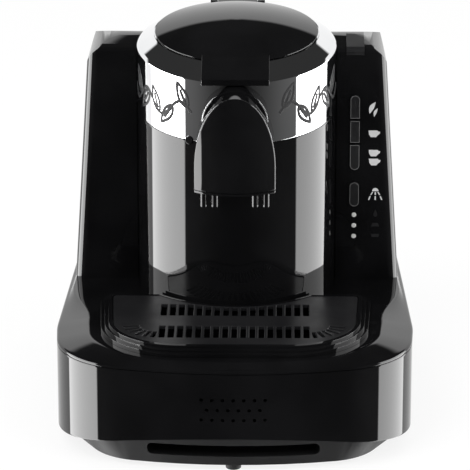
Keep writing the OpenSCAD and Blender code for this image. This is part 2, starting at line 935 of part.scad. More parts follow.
hose_top = rim_z - 24;
module pump_outlet_hose() {
    color("#e8e4da")
    translate([valve_x, outlet_y, pump_z + pump_r + 0.4])
        difference() {
            cylinder(r = hose_r, h = hose_top - pump_z - pump_r - 0.4);
            translate([0, 0, -over])
                cylinder(r = hose_bore, h = span);
            translate([0, 0, -over])
                cylinder(r = hose_bore + 1, h = 8 + over);
        }
}

// From the top of the outlet hose across to the side of the pot
module fill_elbow() {
    way = atan2(outlet_y - column_y, -valve_x);
    reach = norm([valve_x, outlet_y - column_y]) - bend_r - pot_r;
    color("#cfcfcf")
    difference() {
        translate([valve_x, outlet_y, hose_top])
            rotate([0, 0, -way]) {
                translate([bend_r, 0, 0])
                    rotate([90, 0, 0])
                        rotate([0, 0, 90])
                            difference() {
                                quarter_bend(bend_r, hose_r);
                                quarter_bend(bend_r, hose_bore);
                            }
                translate([0, 0, bend_r])
                    difference() {
                        rod_x(hose_r, bend_r, bend_r + reach + over);
                        rod_x(hose_bore, bend_r - over, bend_r + reach + 2 * over);
                    }
            }
        // the end is shaped to the wall of the pot
        at_rim()
            translate([0, 0, -pot_floor_z])
                cylinder(r = pot_r + fit, h = span);
    }
}

module inlet_socket() {
    r_in = valve_r + lift_gap;
    color("#3a3a3c")
    translate([valve_x, valve_y, 0])
        difference() {
            union() {
                translate([0, 0, deck_under - 14])
                    cylinder(r = r_in + socket_wall, h = 14 + deck_t);
                translate([0, 0, deck_under - 2])
                    cylinder(r = r_in + socket_wall + 1.6, h = 2 - fit);
                translate([0, 0, deck_under - 19])
                    cylinder(r = hose_r, h = 6);
            }
            translate([0, 0, deck_under - 12])
                cylinder(r = r_in, h = span);
            difference() {
                translate([0, 0, deck_under - 20])
                    cylinder(r = hose_bore, h = 10);
                // bar that lifts the plunger of the tank's valve
                block([-hose_bore - over, -0.8, deck_under - 14], [hose_bore + over, 0.8, deck_under - 12]);
            }
        }
}

module socket_seal() {
    color("#a33b2a")
    translate([valve_x, valve_y, deck_under - 12 + fit])
        difference() {
            cylinder(r = valve_r + lift_gap - fit, h = 1.6);
            translate([0, 0, -over])
                cylinder(r = valve_r - 3, h = 4);
        }
}

// ======== column ========
module column_shell() {
    color("#0a0a0c")
    difference() {
        column_cylinder(column_r, deck_z, rim_z);
        column_cylinder(column_bore, 0, span);
        above_plane(band_z - seam);
        translate([0, 0, tube_z])
            rod_y(tube_r + fit, column_front - over, column_front + 10);
        stud_hole();
    }
}

stud_r = 2.9;
stud_x = 31.6;
stud_a = asin(stud_x / column_r);
module at_stud() {
    translate([0, column_y, band_z - column_r * cos(stud_a) * tan(tilt)])
        rotate([0, 0, -stud_a])
            children();
}

module stud_hole() {
    at_stud()
        rod_y(stud_r + fit, -column_r - over, -column_r + 8);
}

module collar_stud() {
    color("#0c0c0e")
    at_stud() {
        rod_y(stud_r, -column_r - 0.8, -column_bore + over);
        rod_y(stud_r + 1.5, -column_bore + 0.3, -column_bore + 1.8);
    }
}

module pot_carrier() {
    ear_x = deck_hole_r + 6;
    color("#5d6166")
    difference() {
        union() {
            difference() {
                translate([0, pot_axis_y, deck_under - 6])
                    cylinder(r = carrier_r, h = rim_z - deck_z);
                translate([0, pot_axis_y, 0])
                    cylinder(r = carrier_r - carrier_wall, h = span);
                at_rim()
                    translate([-span / 2, -span / 2, -pot_floor_z - heater_t - 2 * seat])
                        cube([span, span, span]);
            }
            // seat of the heater
            at_rim()
                translate([0, 0, -pot_floor_z - heater_t - 2 * seat - 2.4])
                    cylinder(r = carrier_r - 1, h = 2.4);
            // foot flange on the underside of the deck
            translate([0, pot_axis_y, deck_under - 6])
                cylinder(r = carrier_r + 5, h = 2);
            for (x = [-1, 1])
                block([x > 0 ? carrier_r - 4 : -ear_x, pot_axis_y - 8, deck_under - 3 - fit],
                      [x > 0 ? ear_x : 4 - carrier_r, pot_axis_y + 8, deck_under - fit]);
        }
        translate([0, pot_axis_y, deck_under - 7])
            cylinder(r = carrier_r - carrier_wall, h = 8);
        at_rim()
            translate([0, 0, -pot_floor_z - 40])
                cylinder(r = carrier_r - 14, h = 40);
        // window for the wiring
        block([-12, pot_axis_y - carrier_r - 4, deck_z + 12], [12, pot_axis_y, deck_z + 40]);
    }
}

module pot_heater() {
    color("#8d8f92")
    at_rim()
        translate([0, 0, -pot_floor_z - heater_t - seat]) {
            cylinder(r = heater_r, h = heater_t);
            for (x = [-1, 1])
                translate([x * 16, 0, -9])
                    cylinder(r = 2, h = 10);
        }
}

module thermostat() {
    color("#d6d1c4")
    at_rim()
        translate([0, 0, -pot_floor_z - heater_t - seat]) {
            translate([0, 0, -7])
                cylinder(r = 8, h = 7 - fit);
            translate([-2, -13, -7])
                cube([4, 26, 1.2]);
        }
}

fill_z = hose_top + bend_r;
module brew_pot() {
    stub_z = tube_z - 17;
    color("#c3c6c9")
    difference() {
        union() {
            at_rim() {
                translate([0, 0, -pot_floor_z])
                    cylinder(r = pot_r, h = pot_depth);
                translate([0, 0, -flange_z - flange_t])
                    cylinder(r = flange_r, h = flange_t);
            }
            translate([0, 0, stub_z])
                rod_y(4, tube_y + 9.2, column_y - pot_r + 22);
        }
        at_rim()
            translate([0, 0, -pot_floor_z + pot_wall])
                cylinder(r = pot_r - pot_wall, h = span);
        translate([0, 0, stub_z])
            rod_y(2, tube_y, column_y - pot_r + 24);
        // the water enters through the side
        translate([0, column_y, fill_z])
            rotate([0, 0, 180 - atan2(outlet_y - column_y, -valve_x)])
                rod_x(hose_bore, pot_r - 12, pot_r + 12);
    }
}

module outlet_valve() {
    valve_half = 9;
    color("#2b4a6b")
    difference() {
        union() {
            block([-valve_half, tube_y - valve_half, tube_z - 40],
                  [valve_half, tube_y + valve_half, tube_z - bend_r]);
            translate([0, tube_y, tube_z - 56])
                cylinder(r = 7, h = 17);
        }
        translate([0, tube_y, tube_z - 17])
            cylinder(r = 2, h = 20);
        translate([0, 0, tube_z - 17])
            rod_y(2, tube_y, tube_y + 20);
    }
}

module coffee_tube() {
    end_y = column_front - 10;
    color("#c9c9c9") {
        translate([0, tube_y - bend_r, tube_z - bend_r])
            rotate([0, 0, 90])
                rotate([90, 0, 0])
                    difference() {
                        quarter_bend(bend_r, tube_r);
                        quarter_bend(bend_r, tube_r - 1);
                    }
        translate([0, 0, tube_z])
            difference() {
                rod_y(tube_r, end_y, tube_y - bend_r);
                rod_y(tube_r - 1, end_y - over, tube_y - bend_r + over);
            }
    }
}

module chrome_collar() {
    color("#dfe2e6")
    difference() {
        union() {
            intersection() {
                column_cylinder(column_r, band_z - 40, span);
                above_plane(band_z);
                at_rim()
                    rotate_extrude()
                        polygon([[0, 0], [rim_r, 0], [rim_r + 2 * bevel_w, -2 * bevel_h],
                                 [rim_r + 2 * bevel_w, -120], [0, -120]]);
            }
            // hinge lugs
            at_rim()
                translate([0, hinge_y, -hinge_drop])
                    for (side = [-1, 1]) {
                        x0 = side > 0 ? barrel_w / 2 + 0.3 : -barrel_w / 2 - 0.3 - lug_w;
                        rod_x(barrel_r, x0, x0 + lug_w);
                        block([x0, -barrel_r, -4], [x0 + lug_w, barrel_r, 0]);
                    }
        }
        // hollow behind the band
        difference() {
            column_cylinder(column_bore, 0, span);
            above_plane(rim_z - ledge_h - rebate_h);
        }
        at_rim() {
            translate([0, 0, -rebate_h])
                cylinder(r = rim_r + 0.4, h = span);
            translate([0, 0, -60])
                cylinder(r = mouth_r, h = 100);
            // notch of the hinge barrel
            block([-barrel_w / 2 - 0.3, rim_r - 3, -hinge_drop - barrel_r - 0.8],
                  [barrel_w / 2 + 0.3, rim_r + 11, 20]);
            translate([0, hinge_y, -hinge_drop])
                rod_x(pin_r + 0.03, -40, 40);
        }
        stud_hole();
    }
}

// ======== lid ========
lid_r = rim_r - 0.3;
skirt_taper = 1.4;
edge_rise = 0.6;
dome_top = edge_rise + dome_rise;
dome_r = (lid_r * lid_r + dome_rise * dome_rise) / (2 * dome_rise);
dome_steps = 16;
function dome_point(r, drop) = [r, dome_top - drop - dome_r + sqrt(pow(dome_r, 2) - r * r)];
function dome_arc(r, drop) = [for (i = [0:dome_steps]) dome_point(r * (1 - i / dome_steps), drop)];
tab_front = -rim_r - 19.5;
tab_z = -4.6;
tab_lip_h = 4.5;
tab_lip_t = 4;
tab_rise = 1.1;
// The tab's profile in the frame of the rim: level over the lid, then down over the bevel
module lid_tab() {
    at_rim()
        translate([-tab_w / 2, 0, 0])
            rotate([90, 0, 90])
                linear_extrude(height = tab_w)
                    polygon([
                        [-rim_r + 14, seat],
                        [-rim_r + 14, tab_rise + over],
                        [-rim_r, tab_rise],
                        [tab_front, tab_z],
                        [tab_front, tab_z - tab_lip_h],
                        [tab_front + tab_lip_t, tab_z - tab_lip_h],
                        [tab_front + tab_lip_t, tab_z - 2.4],
                        [-rim_r - 0.4, 0]
                    ]);
}

module lid() {
    color("#0b0b0d")
    difference() {
        union() {
            at_rim()
                rotate_extrude()
                    polygon(concat(
                        [[0, -rebate_h + seat]],
                        [[lid_r - skirt_taper, -rebate_h + seat], [lid_r, 0]],
                        dome_arc(lid_r, 0)
                    ));
            lid_tab();
            at_rim() {
                block([-barrel_w / 2, lid_r - 4, -2.6], [barrel_w / 2, hinge_y, -0.4]);
                translate([0, hinge_y, -hinge_drop])
                    rod_x(barrel_r, -barrel_w / 2, barrel_w / 2);
            }
        }
        at_rim() {
            rotate_extrude()
                polygon(concat(
                    [[0, -rebate_h - over]],
                    [[lid_r - skirt_taper - lid_wall, -rebate_h - over], [lid_r - skirt_taper - lid_wall, 0]],
                    dome_arc(lid_r - skirt_taper - lid_wall, lid_wall)
                ));
            translate([0, hinge_y, -hinge_drop])
                rod_x(pin_r + 0.06, -barrel_w, barrel_w);
        }
    }
}

plate_r = lid_r - skirt_taper - lid_wall - 0.05;
module lid_inner_plate() {
    groove_r = pot_r + 0.5;
    color("#c8cacc")
    at_rim()
        difference() {
            translate([0, 0, -rebate_h + seat])
                cylinder(r = plate_r, h = 2);
            // shallow dish over the pot
            translate([0, 0, -rebate_h - over])
                cylinder(r = groove_r - 8, h = over + 1);
        }
}

gasket_z = -rebate_h + seat;
module lid_gasket() {
    gasket_r = (pot_r + flange_r) / 2;
    gasket_half = 2;
    color("#b9b4ab")
    at_rim()
        rotate_extrude()
            polygon([
                [gasket_r - gasket_half, gasket_z],
                [gasket_r - gasket_half, -flange_z + seat + 1.2],
                [gasket_r - 0.6, -flange_z + seat],
                [gasket_r + 0.6, -flange_z + seat],
                [gasket_r + gasket_half, -flange_z + seat + 1.2],
                [gasket_r + gasket_half, gasket_z]
            ]);
}

module lid_hinge_pin() {
    color("#a8abb0")
    at_rim()
        translate([0, hinge_y, -hinge_drop])
            rod_x(pin_r, -barrel_w / 2 - lug_w, barrel_w / 2 + lug_w);
}

// ======== spout ========
arch_steps = 36;
// Upright outline of the cover: straight sides under half an ellipse
function arch_outline(gap) = concat(
    [[-spout_w / 2 + gap, spout_foot - 2 * over], [spout_w / 2 - gap, spout_foot - 2 * over]],
    [for (i = [0:arch_steps])
        let (a = 180 * i / arch_steps)
        [(spout_w / 2 - gap) * cos(a), spout_arch_z + (spout_arch_h - gap) * sin(a)]]
);
module arch_solid(gap, y0, y1) {
    translate([0, y1, 0])
        rotate([90, 0, 0])
            linear_extrude(height = y1 - y0)
                polygon(arch_outline(gap));
}

module spout_form(gap) {
    intersection() {
        arch_solid(gap, cover_front - over, column_front + 8);
        translate([0, cover_front + cover_face_r, 0])
            cylinder(r = cover_face_r - gap, h = span);
    }
}

module spout_cover() {
    color("#09090a")
    difference() {
        spout_form(0);
        difference() {
            spout_form(spout_wall);
            block([-span, neck_front - seat, spout_foot + 44], [span, span, span]);
        }
        column_cylinder(column_r + seat, 0, span);
        cube([2 * span, 2 * span, 2 * spout_foot], center = true);
        // the round neck enters from behind
        translate([0, 0, neck_z])
            rod_y(neck_r + seat, neck_front - seat, span);
    }
}

module spout_neck() {
    color("#121214")
    difference() {
        translate([0, 0, neck_z])
            rod_y(neck_r, neck_front, column_front + 8);
        column_cylinder(column_r + fit, 0, span);
        translate([0, 0, neck_z])
            rod_y(neck_r - 3, neck_front + 3, span);
    }
}

module spout_manifold() {
    top = spout_foot + manifold_h;
    block_y = nozzle_y - 7;
    color("#1a1a1c")
    difference() {
        union() {
            intersection() {
                spout_form(spout_wall + 0.1);
                block([-span, -span, spout_foot + 0.4], [span, column_front - 3, spout_foot + 3]);
            }
            intersection() {
                spout_form(spout_wall + 0.1);
                union() {
                    block([-nozzle_outer_x - 4, block_y, spout_foot + 2],
                          [nozzle_outer_x + 4, column_front - 6, top]);
                    block([-7, block_y, top - over], [7, column_front - 8.4, tube_z + tube_r + 2]);
                }
            }
        }
        translate([0, 0, tube_z])
            rod_y(tube_r + fit, column_front - 10 - fit, span);
        translate([0, 0, tube_z])
            rod_y(tube_r - 1, column_front - 16, span);
        translate([0, column_front - 16, spout_foot + 7])
            cylinder(r = 2.4, h = tube_z - spout_foot - 7);
        block([-nozzle_outer_x - 1.4, nozzle_y - 2.4, spout_foot + 5],
              [nozzle_outer_x + 1.4, column_front - 13.4, spout_foot + 9]);
        nozzle_bores(nozzle_r + fit, spout_foot - over, spout_foot + 5);
    }
}

module nozzle_bores(r, z0, z1) {
    for (x = [-nozzle_outer_x, -nozzle_inner_x, nozzle_inner_x, nozzle_outer_x])
        translate([x, nozzle_y, z0])
            cylinder(r = r, h = z1 - z0);
}

module nozzles() {
    color("#0c0c0e")
    difference() {
        nozzle_bores(nozzle_r, spout_foot - nozzle_len, spout_foot + 4.9);
        nozzle_bores(nozzle_bore, spout_foot - nozzle_len - over, spout_foot + 6);
    }
}

// ======== housing and controls ========
// The wings up to the seam and the narrow brow that rises above it
module housing_zone(rear_y, top_z, brow) {
    block([-span, column_y - over, deck_z - over], [span, rear_y, top_z]);
    block([-span, column_y - over, deck_z - over], [span, brow, span]);
}

module button_holes(grow, y0, y1) {
    button_form(roast_z, false, true, grow, y0, y1);
    button_form(one_cup_z, false, false, grow, y0, y1);
    button_form(two_cup_z, true, false, grow, y0, y1);
    button_form(rinse_z, true, true, grow, y0, y1);
}

board_posts = [for (x = [board_x[0] + 3, board_x[1] - 3], z = [board_z[0] + 4, board_z[1] - 3]) [x, z]];
module housing_front() {
    color("#0a0a0b")
    difference() {
        union() {
            intersection() {
                difference() {
                    housing_form(0);
                    difference() {
                        intersection() {
                            housing_form(wall);
                            housing_zone(wing_y - wall, seam_z - seam - wall, cap_y - wall);
                        }
                        // wall of the wing beside the column
                        column_cylinder(partition_r + partition_t, 0, seam_z - seam - wall + over);
                        for (p = board_posts)
                            translate([p[0], 0, p[1]])
                                rod_y(post_r, column_y, board_y - fit);
                    }
                }
                housing_zone(wing_y, seam_z - seam, cap_y);
                block([-span, -span, deck_z], [span, span, span]);
            }
            // partition round the back of the column
            intersection() {
                column_cylinder(partition_r + partition_t, deck_z, seam_z - 4);
                block([-span, wing_y - wall, 0], [span, span, span]);
            }
        }
        column_cylinder(partition_r, 0, span);
        button_holes(button_gap, column_y - over, panel_back + over);
        for (z = lens_z)
            translate([button_x, 0, z])
                rod_y(lens_d / 2 + fit, column_y - over, panel_back + over);
        for (p = board_posts)
            translate([p[0], 0, p[1]])
                rod_y(post_bore, panel_back + over, board_y + over);
    }
}

module control_board() {
    color("#1f6a3c")
    difference() {
        block([board_x[0], board_y, board_z[0]], [board_x[1], board_y + board_t, board_z[1]]);
        for (p = board_posts)
            translate([p[0], 0, p[1]])
                rod_y(1.3, board_y - over, board_y + board_t + over);
    }
}

module tact_switches() {
    for (z = [rinse_z, two_cup_z, one_cup_z, roast_z])
        translate([button_x, 0, (z[0] + z[1]) / 2]) {
            color("#2c2c2e")
                block([-3, board_y - switch_h, -3], [3, board_y, 3]);
            color("#d0d0d0")
                rod_y(1.4, board_y - switch_h - switch_tip, board_y - switch_h);
        }
}

module board_screws() {
    color("#b4b7bb")
    for (p = board_posts)
        translate([p[0], 0, p[1]]) {
            rod_y(2.2, board_y + board_t, board_y + board_t + 1.6);
            rod_y(post_bore - 0.02, board_y - 4, board_y + board_t + 0.5);
        }
}

module roast_button() {
    color("#17181a")
        button(roast_z, false, true);
}

module one_cup_button() {
    color("#17181a")
        button(one_cup_z, false, false);
}

module two_cup_button() {
    color("#17181a")
        button(two_cup_z, true, false);
}

module rinse_button() {
    color("#17181a")
        button(rinse_z, true, true);
}

module indicator_lenses() {
    color("#f2f2ee")
    for (z = lens_z)
        translate([button_x, 0, z]) {
            rod_y(lens_d / 2, column_y - 0.2, panel_back + 0.5);
            rod_y(lens_d / 2 + 0.8, panel_back + fit, panel_back + 1.2);
        }
}

module indicator_leds() {
    color("#ffd98a")
    for (z = lens_z)
        translate([button_x, 0, z])
            rod_y(1.5, panel_back + 1.2 + fit, board_y);
}

module ribbon_cable() {
    ribbon_x = [button_x - 1, button_x + 13];
    ribbon_y = [board_y + board_t + 5, board_y + board_t + 6];
    low = deck_z - 28;
    color("#9c9c98") {
        block([ribbon_x[0], ribbon_y[0], low], [ribbon_x[1], ribbon_y[1], board_z[0] + 12]);
        block([ribbon_x[0], board_y + board_t, board_z[0] + 11],
              [ribbon_x[1], ribbon_y[0] + over / 2, board_z[0] + 12]);
    }
}

// ======== water tank ========
module tank_region(z0, z1, y0, y1) {
    block([-span, y0, z0], [span, y1, z1]);
}

module water_tank() {
    color([0.13, 0.14, 0.16, 0.85])
    difference() {
        intersection() {
            housing_form(0);
            tank_region(tank_floor, seam_z - seam, tank_y, span);
        }
        difference() {
            intersection() {
                housing_form(tank_wall);
                tank_region(tank_floor + tank_wall, span, tank_y + tank_wall, span);
            }
            column_cylinder(tank_hollow_r + tank_wall, 0, span);
        }
        column_cylinder(tank_hollow_r, 0, span);
        translate([valve_x, valve_y, 0])
            cylinder(r = valve_r - 2 + fit, h = tank_floor + tank_wall + over);
    }
}

// The handle bar's round front edge, which the rear edge of the tank lid turns about
module tank_knuckle(r) {
    translate([0, tank_hinge_y, tank_hinge_z])
        rod_x(r, -span / 2, span / 2);
}

module tank_handle() {
    notch = tank_barrel_w / 2 + 0.4;
    color("#101012")
    difference() {
        intersection() {
            housing_form(0);
            tank_region(seam_z, span, 0, span);
            union() {
                tank_region(seam_z, span, tank_hinge_y, span);
                tank_knuckle(knuckle_r);
            }
        }
        block([-notch, tank_hinge_y - knuckle_r - over, tank_hinge_z - tank_barrel_r - 0.5],
              [notch, tank_hinge_y + tank_barrel_r + 0.5, span]);
        translate([0, tank_hinge_y, tank_hinge_z])
            rod_x(tank_pin_r + 0.02, -notch - tank_pin_over, notch + tank_pin_over);
    }
}

module tank_hinge_pin() {
    half = tank_barrel_w / 2 + tank_pin_over;
    color("#a8abb0")
    translate([0, tank_hinge_y, tank_hinge_z])
        rod_x(tank_pin_r, -half, half);
}

lid_rear = tank_hinge_y - knuckle_r - knuckle_gap;
module tank_lid() {
    color("#0d0d0f")
    difference() {
        union() {
            difference() {
                intersection() {
                    housing_form(0);
                    tank_region(seam_z, span, cap_y + 0.2, tank_hinge_y);
                }
                difference() {
                    intersection() {
                        housing_form(wall);
                        tank_region(seam_z - over, span, cap_y + 0.2 + wall, lid_rear - wall);
                    }
                    column_cylinder(column_r + cap_gap + wall, 0, span);
                }
                tank_knuckle(knuckle_r + knuckle_gap);
            }
            block([-tank_barrel_w / 2, lid_rear - over, tank_hinge_z - 1],
                  [tank_barrel_w / 2, tank_hinge_y, tank_hinge_z + 1]);
            translate([0, tank_hinge_y, tank_hinge_z])
                rod_x(tank_barrel_r, -tank_barrel_w / 2, tank_barrel_w / 2);
        }
        column_cylinder(column_r + cap_gap, 0, span);
        translate([0, tank_hinge_y, tank_hinge_z])
            rod_x(tank_pin_r + 0.05, -tank_barrel_w, tank_barrel_w);
    }
}

// Finger tab over the front edge of the tank lid, on the right
module tank_lid_tab() {
    tab_x = [button_x - 6.5, button_x + 6];
    tab_t = 1.2;
    color("#18181a")
    difference() {
        intersection() {
            difference() {
                housing_form(-tab_t);
                housing_form(-fit);
                // clear of the brow, which stays behind when the lid opens
                intersection() {
                    housing_form(-seat);
                    block([0, -span, 0], [span, cap_y + seat, span]);
                }
            }
            block([tab_x[0], column_y - 4, seam_z], [tab_x[1], column_y + 24, span]);
        }
        block([-span, -span, 0], [span, column_y - 0.4, shoulder_z - 1.4]);
        block([-span, column_y - 0.4, 0], [span, cap_y - 0.2, shoulder_z - 4]);
    }
}

module tank_valve() {
    plate_z = tank_floor + tank_wall;
    color("#d8d8d4")
    translate([valve_x, valve_y, 0])
        difference() {
            union() {
                translate([0, 0, deck_under - 9])
                    cylinder(r = valve_r - 2, h = plate_z - deck_under + 9 + over / 2);
                translate([0, 0, plate_z + fit])
                    cylinder(r = valve_r, h = 2);
            }
            translate([0, 0, plunger_seat])
                cylinder(r = valve_r - 3.6, h = plate_z - fit - plunger_seat);
            cylinder(r = 2.4, h = span);
        }
}

plunger_seat = deck_under - 7;
module valve_plunger() {
    color("#7d1f1a")
    translate([valve_x, valve_y, 0]) {
        translate([0, 0, deck_under - 12 + 2 * fit])
            cylinder(r = 1.5, h = 12.4);
        translate([0, 0, plunger_seat + 2.6])
            cylinder(r = 3.6, h = 1.6);
    }
}

// A helix swept along its own line, as a closed faceted solid
spring_turns = 4;
spring_r = 3.4;
wire_r = 0.35;
wire_sides = 8;
turn_steps = 20;
function helix_point(a, pitch) = [spring_r * cos(a), spring_r * sin(a), pitch * a / 360];
function wire_ring(a, pitch) = [for (j = [0:wire_sides - 1])
    let (b = 360 * j / wire_sides)
    helix_point(a, pitch) + wire_r * [cos(b) * cos(a), cos(b) * sin(a), sin(b)]];
module valve_spring() {
    low = plunger_seat + 4.2 + wire_r + fit;
    pitch = 1.9;
    rings = spring_turns * turn_steps;
    points = [for (i = [0:rings]) each wire_ring(i * 360 / turn_steps, pitch)];
    sides = [for (i = [0:rings - 1], j = [0:wire_sides - 1])
        let (k = (j + 1) % wire_sides)
        [i * wire_sides + j, i * wire_sides + k, (i + 1) * wire_sides + k, (i + 1) * wire_sides + j]];
    start_cap = [for (j = [0:wire_sides - 1]) wire_sides - 1 - j];
    end_cap = [for (j = [0:wire_sides - 1]) rings * wire_sides + j];
    color("#c7cace")
    translate([valve_x, valve_y, low])
        polyhedron(points = points, faces = concat([start_cap], sides, [end_cap]));
}

bottom_chassis();
rubber_feet();
base_body();
rear_panel();
base_deck();
chassis_screws();
drip_tray();
drip_grille();
buzzer();
power_board();
power_switch_frame();
power_rocker();
cord_gland();
pump_cradle();
pump_housing();
pump_impeller();
pump_motor();
pump_inlet_hose();
pump_outlet_hose();
fill_elbow();
inlet_socket();
socket_seal();
column_shell();
pot_carrier();
pot_heater();
thermostat();
brew_pot();
outlet_valve();
coffee_tube();
chrome_collar();
collar_stud();
lid();
lid_inner_plate();
lid_gasket();
lid_hinge_pin();
spout_neck();
spout_cover();
spout_manifold();
nozzles();
housing_front();
control_board();
tact_switches();
board_screws();
roast_button();
one_cup_button();
two_cup_button();
rinse_button();
indicator_lenses();
indicator_leds();
ribbon_cable();
water_tank();
tank_handle();
tank_hinge_pin();
tank_lid();
tank_lid_tab();
tank_valve();
valve_plunger();
valve_spring();
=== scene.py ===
"""Electric Turkish coffee maker: detailed shells, prints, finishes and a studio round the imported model.

Sizes are in millimetres here and become metres where a mesh is made. +Z is up and -Y is the front.
"""
import json
import logging
import math
from collections.abc import Callable
from dataclasses import dataclass, field
from enum import Enum

import bmesh
import bpy
from mathutils import Matrix, Vector

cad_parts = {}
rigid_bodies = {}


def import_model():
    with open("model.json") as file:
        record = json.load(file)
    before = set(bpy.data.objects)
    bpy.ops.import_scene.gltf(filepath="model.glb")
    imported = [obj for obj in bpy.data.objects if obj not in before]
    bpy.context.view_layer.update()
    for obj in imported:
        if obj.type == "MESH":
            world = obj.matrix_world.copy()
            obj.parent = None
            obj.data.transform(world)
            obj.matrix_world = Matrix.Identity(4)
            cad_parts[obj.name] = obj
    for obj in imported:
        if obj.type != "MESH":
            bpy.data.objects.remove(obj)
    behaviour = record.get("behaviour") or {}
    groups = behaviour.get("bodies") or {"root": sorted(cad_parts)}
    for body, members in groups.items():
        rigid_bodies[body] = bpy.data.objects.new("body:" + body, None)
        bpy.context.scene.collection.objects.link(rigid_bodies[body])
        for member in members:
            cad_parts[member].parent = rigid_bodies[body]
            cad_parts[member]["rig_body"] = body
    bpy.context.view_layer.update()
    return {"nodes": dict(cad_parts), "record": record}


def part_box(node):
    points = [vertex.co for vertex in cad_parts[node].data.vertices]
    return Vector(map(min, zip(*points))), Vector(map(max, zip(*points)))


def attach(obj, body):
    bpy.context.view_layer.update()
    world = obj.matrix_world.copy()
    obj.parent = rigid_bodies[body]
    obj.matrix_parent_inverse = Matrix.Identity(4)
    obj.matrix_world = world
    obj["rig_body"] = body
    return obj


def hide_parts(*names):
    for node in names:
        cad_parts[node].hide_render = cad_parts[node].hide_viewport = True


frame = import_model()

MM = 0.001
Ring = list[Vector]
Corner = tuple[float, float, float]
Place = tuple[float, float]
Pair = tuple[float, float]
Colour = tuple[float, float, float]
Varying = float | Callable[[float, float], float]
log = logging.getLogger("coffee_maker")


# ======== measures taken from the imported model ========
def corners(node: str) -> tuple[Vector, Vector]:
    """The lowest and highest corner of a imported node.

    Args:
        node: The node's name.

    Returns:
        Both corners in millimetres.
    """
    low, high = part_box(node)
    return low / MM, high / MM


@dataclass(frozen=True)
class Measures:
    """Places and sizes that several pieces share."""

    base_half: float
    front_y: float
    back_y: float
    deck_z: float
    column_y: float
    column_r: float
    rim_z: float = 260.5
    tilt: float = math.radians(6.5)
    rim_r: float = 57.0
    bevel_w: float = 12.5
    bevel_h: float = 8.6
    band_z: float = 207.5

    @property
    def column_front(self) -> float:
        """The foremost line of the column."""
        return self.column_y - self.column_r

    def from_rim(self, x: float, y: float, z: float) -> Vector:
        """Turns a point of the rim's tilted frame into one of the machine's frame."""
        return Vector((
            x,
            self.column_y + y * math.cos(self.tilt) - z * math.sin(self.tilt),
            self.rim_z + y * math.sin(self.tilt) + z * math.cos(self.tilt),
        ))

    def tilted_z(self, z: float, y: float) -> float:
        """The height at depth y of the tilted plane that cuts the column's axis at height z."""
        return z + (y - self.column_y) * math.tan(self.tilt)


def measured() -> Measures:
    """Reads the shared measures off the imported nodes.

    Returns:
        The measures.
    """
    body_low, body_high = corners("base_body")
    column_low, column_high = corners("column_shell")
    rear_high = corners("rear_panel")[1]
    radius = (column_high.x - column_low.x) / 2
    return Measures(
        base_half=(body_high.x - body_low.x) / 2,
        front_y=body_low.y,
        back_y=rear_high.y,
        deck_z=column_low.z,
        column_y=column_high.y - radius,
        column_r=radius,
    )


SIZE = measured()


# ======== outlines ========
def traced(corner_list: list[Corner], gap: float, steps: int) -> list[Vector]:
    """Traces a closed outline with rounded corners.

    Args:
        corner_list: The corners as x, y and radius.
        gap: How far the outline is moved inwards.
        steps: Steps on each corner's arc.

    Returns:
        The points, with the same number for every gap.
    """
    count = len(corner_list)
    moved = []
    for i in range(count):
        before, here, after = (Vector(corner_list[(i + k) % count][:2]) for k in (-1, 0, 1))
        half = (before - here).angle(after - here) / 2
        towards = ((before - here).normalized() + (after - here).normalized()).normalized()
        moved.append((here + towards * gap / math.sin(half), max(corner_list[i][2] - gap, 0.05)))
    points = []
    for i in range(count):
        before, after = moved[i - 1][0], moved[(i + 1) % count][0]
        here, radius = moved[i]
        to_before, to_after = (before - here).normalized(), (after - here).normalized()
        half = to_before.angle(to_after) / 2
        centre = here + (to_before + to_after).normalized() * radius / math.sin(half)
        first = here + to_before * radius / math.tan(half) - centre
        last = here + to_after * radius / math.tan(half) - centre
        start = math.atan2(first.y, first.x)
        turn = (math.atan2(last.y, last.x) - start + math.pi) % math.tau - math.pi
        for k in range(steps + 1):
            angle = start + turn * k / steps
            points.append(centre + Vector((math.cos(angle), math.sin(angle))) * radius)
    return points


def mirrored(half: list[Corner]) -> list[Corner]:
    """Adds the mirror image of the corners on the right-hand side."""
    return half + [(-x, y, r) for x, y, r in reversed(half)]


def smooth_step(low: float, high: float, value: float) -> float:
    """Rises smoothly from 0 to 1 as the value goes from low to high."""
    share = min(max((value - low) / (high - low), 0.0), 1.0)
    return share * share * (3 - 2 * share)


class Plan:
    """An outline whose points can all be moved inwards, each by its own distance."""

    def __init__(self, corner_list: list[Corner], steps: int = 14, longest: float = 9.0) -> None:
        """Traces the outline and divides its long straights.

        Args:
            corner_list: The corners as x, y and radius.
            steps: Steps on each corner's arc.
            longest: The longest stretch without a point.
        """
        outer = traced(corner_list, 0.0, steps)
        shifts = [b - a for a, b in zip(outer, traced(corner_list, 1.0, steps))]
        self.rows: list[tuple[Vector, Vector]] = []
        for i, point in enumerate(outer):
            after = (i + 1) % len(outer)
            cuts = max(1, math.ceil((outer[after] - point).length / longest))
            for k in range(cuts):
                share = k / cuts
                self.rows.append((point.lerp(outer[after], share), shifts[i].lerp(shifts[after], share)))

    def ring(self, gap: Varying, height: Varying) -> Ring:
        """Returns the outline as a ring.

        Args:
            gap: The distance inwards, or a function of a point's x and y.
            height: The height, or a function of a point's x and y.

        Returns:
            The ring's points.
        """
        points = []
        for point, shift in self.rows:
            inwards = gap(point.x, point.y) if callable(gap) else gap
            place = point + shift * inwards
            points.append(Vector((*place, height(*place) if callable(height) else height)))
        return points


def circle(radius: float, count: int = 128) -> list[Place]:
    """Points on a circle round the origin."""
    return [
        (radius * math.cos(math.tau * k / count), radius * math.sin(math.tau * k / count))
        for k in range(count)
    ]


# ======== modelling with operators ========
class Ends(Enum):
    """How the two ends of a loft are closed."""

    CAPPED = "capped"
    LOOPED = "looped"


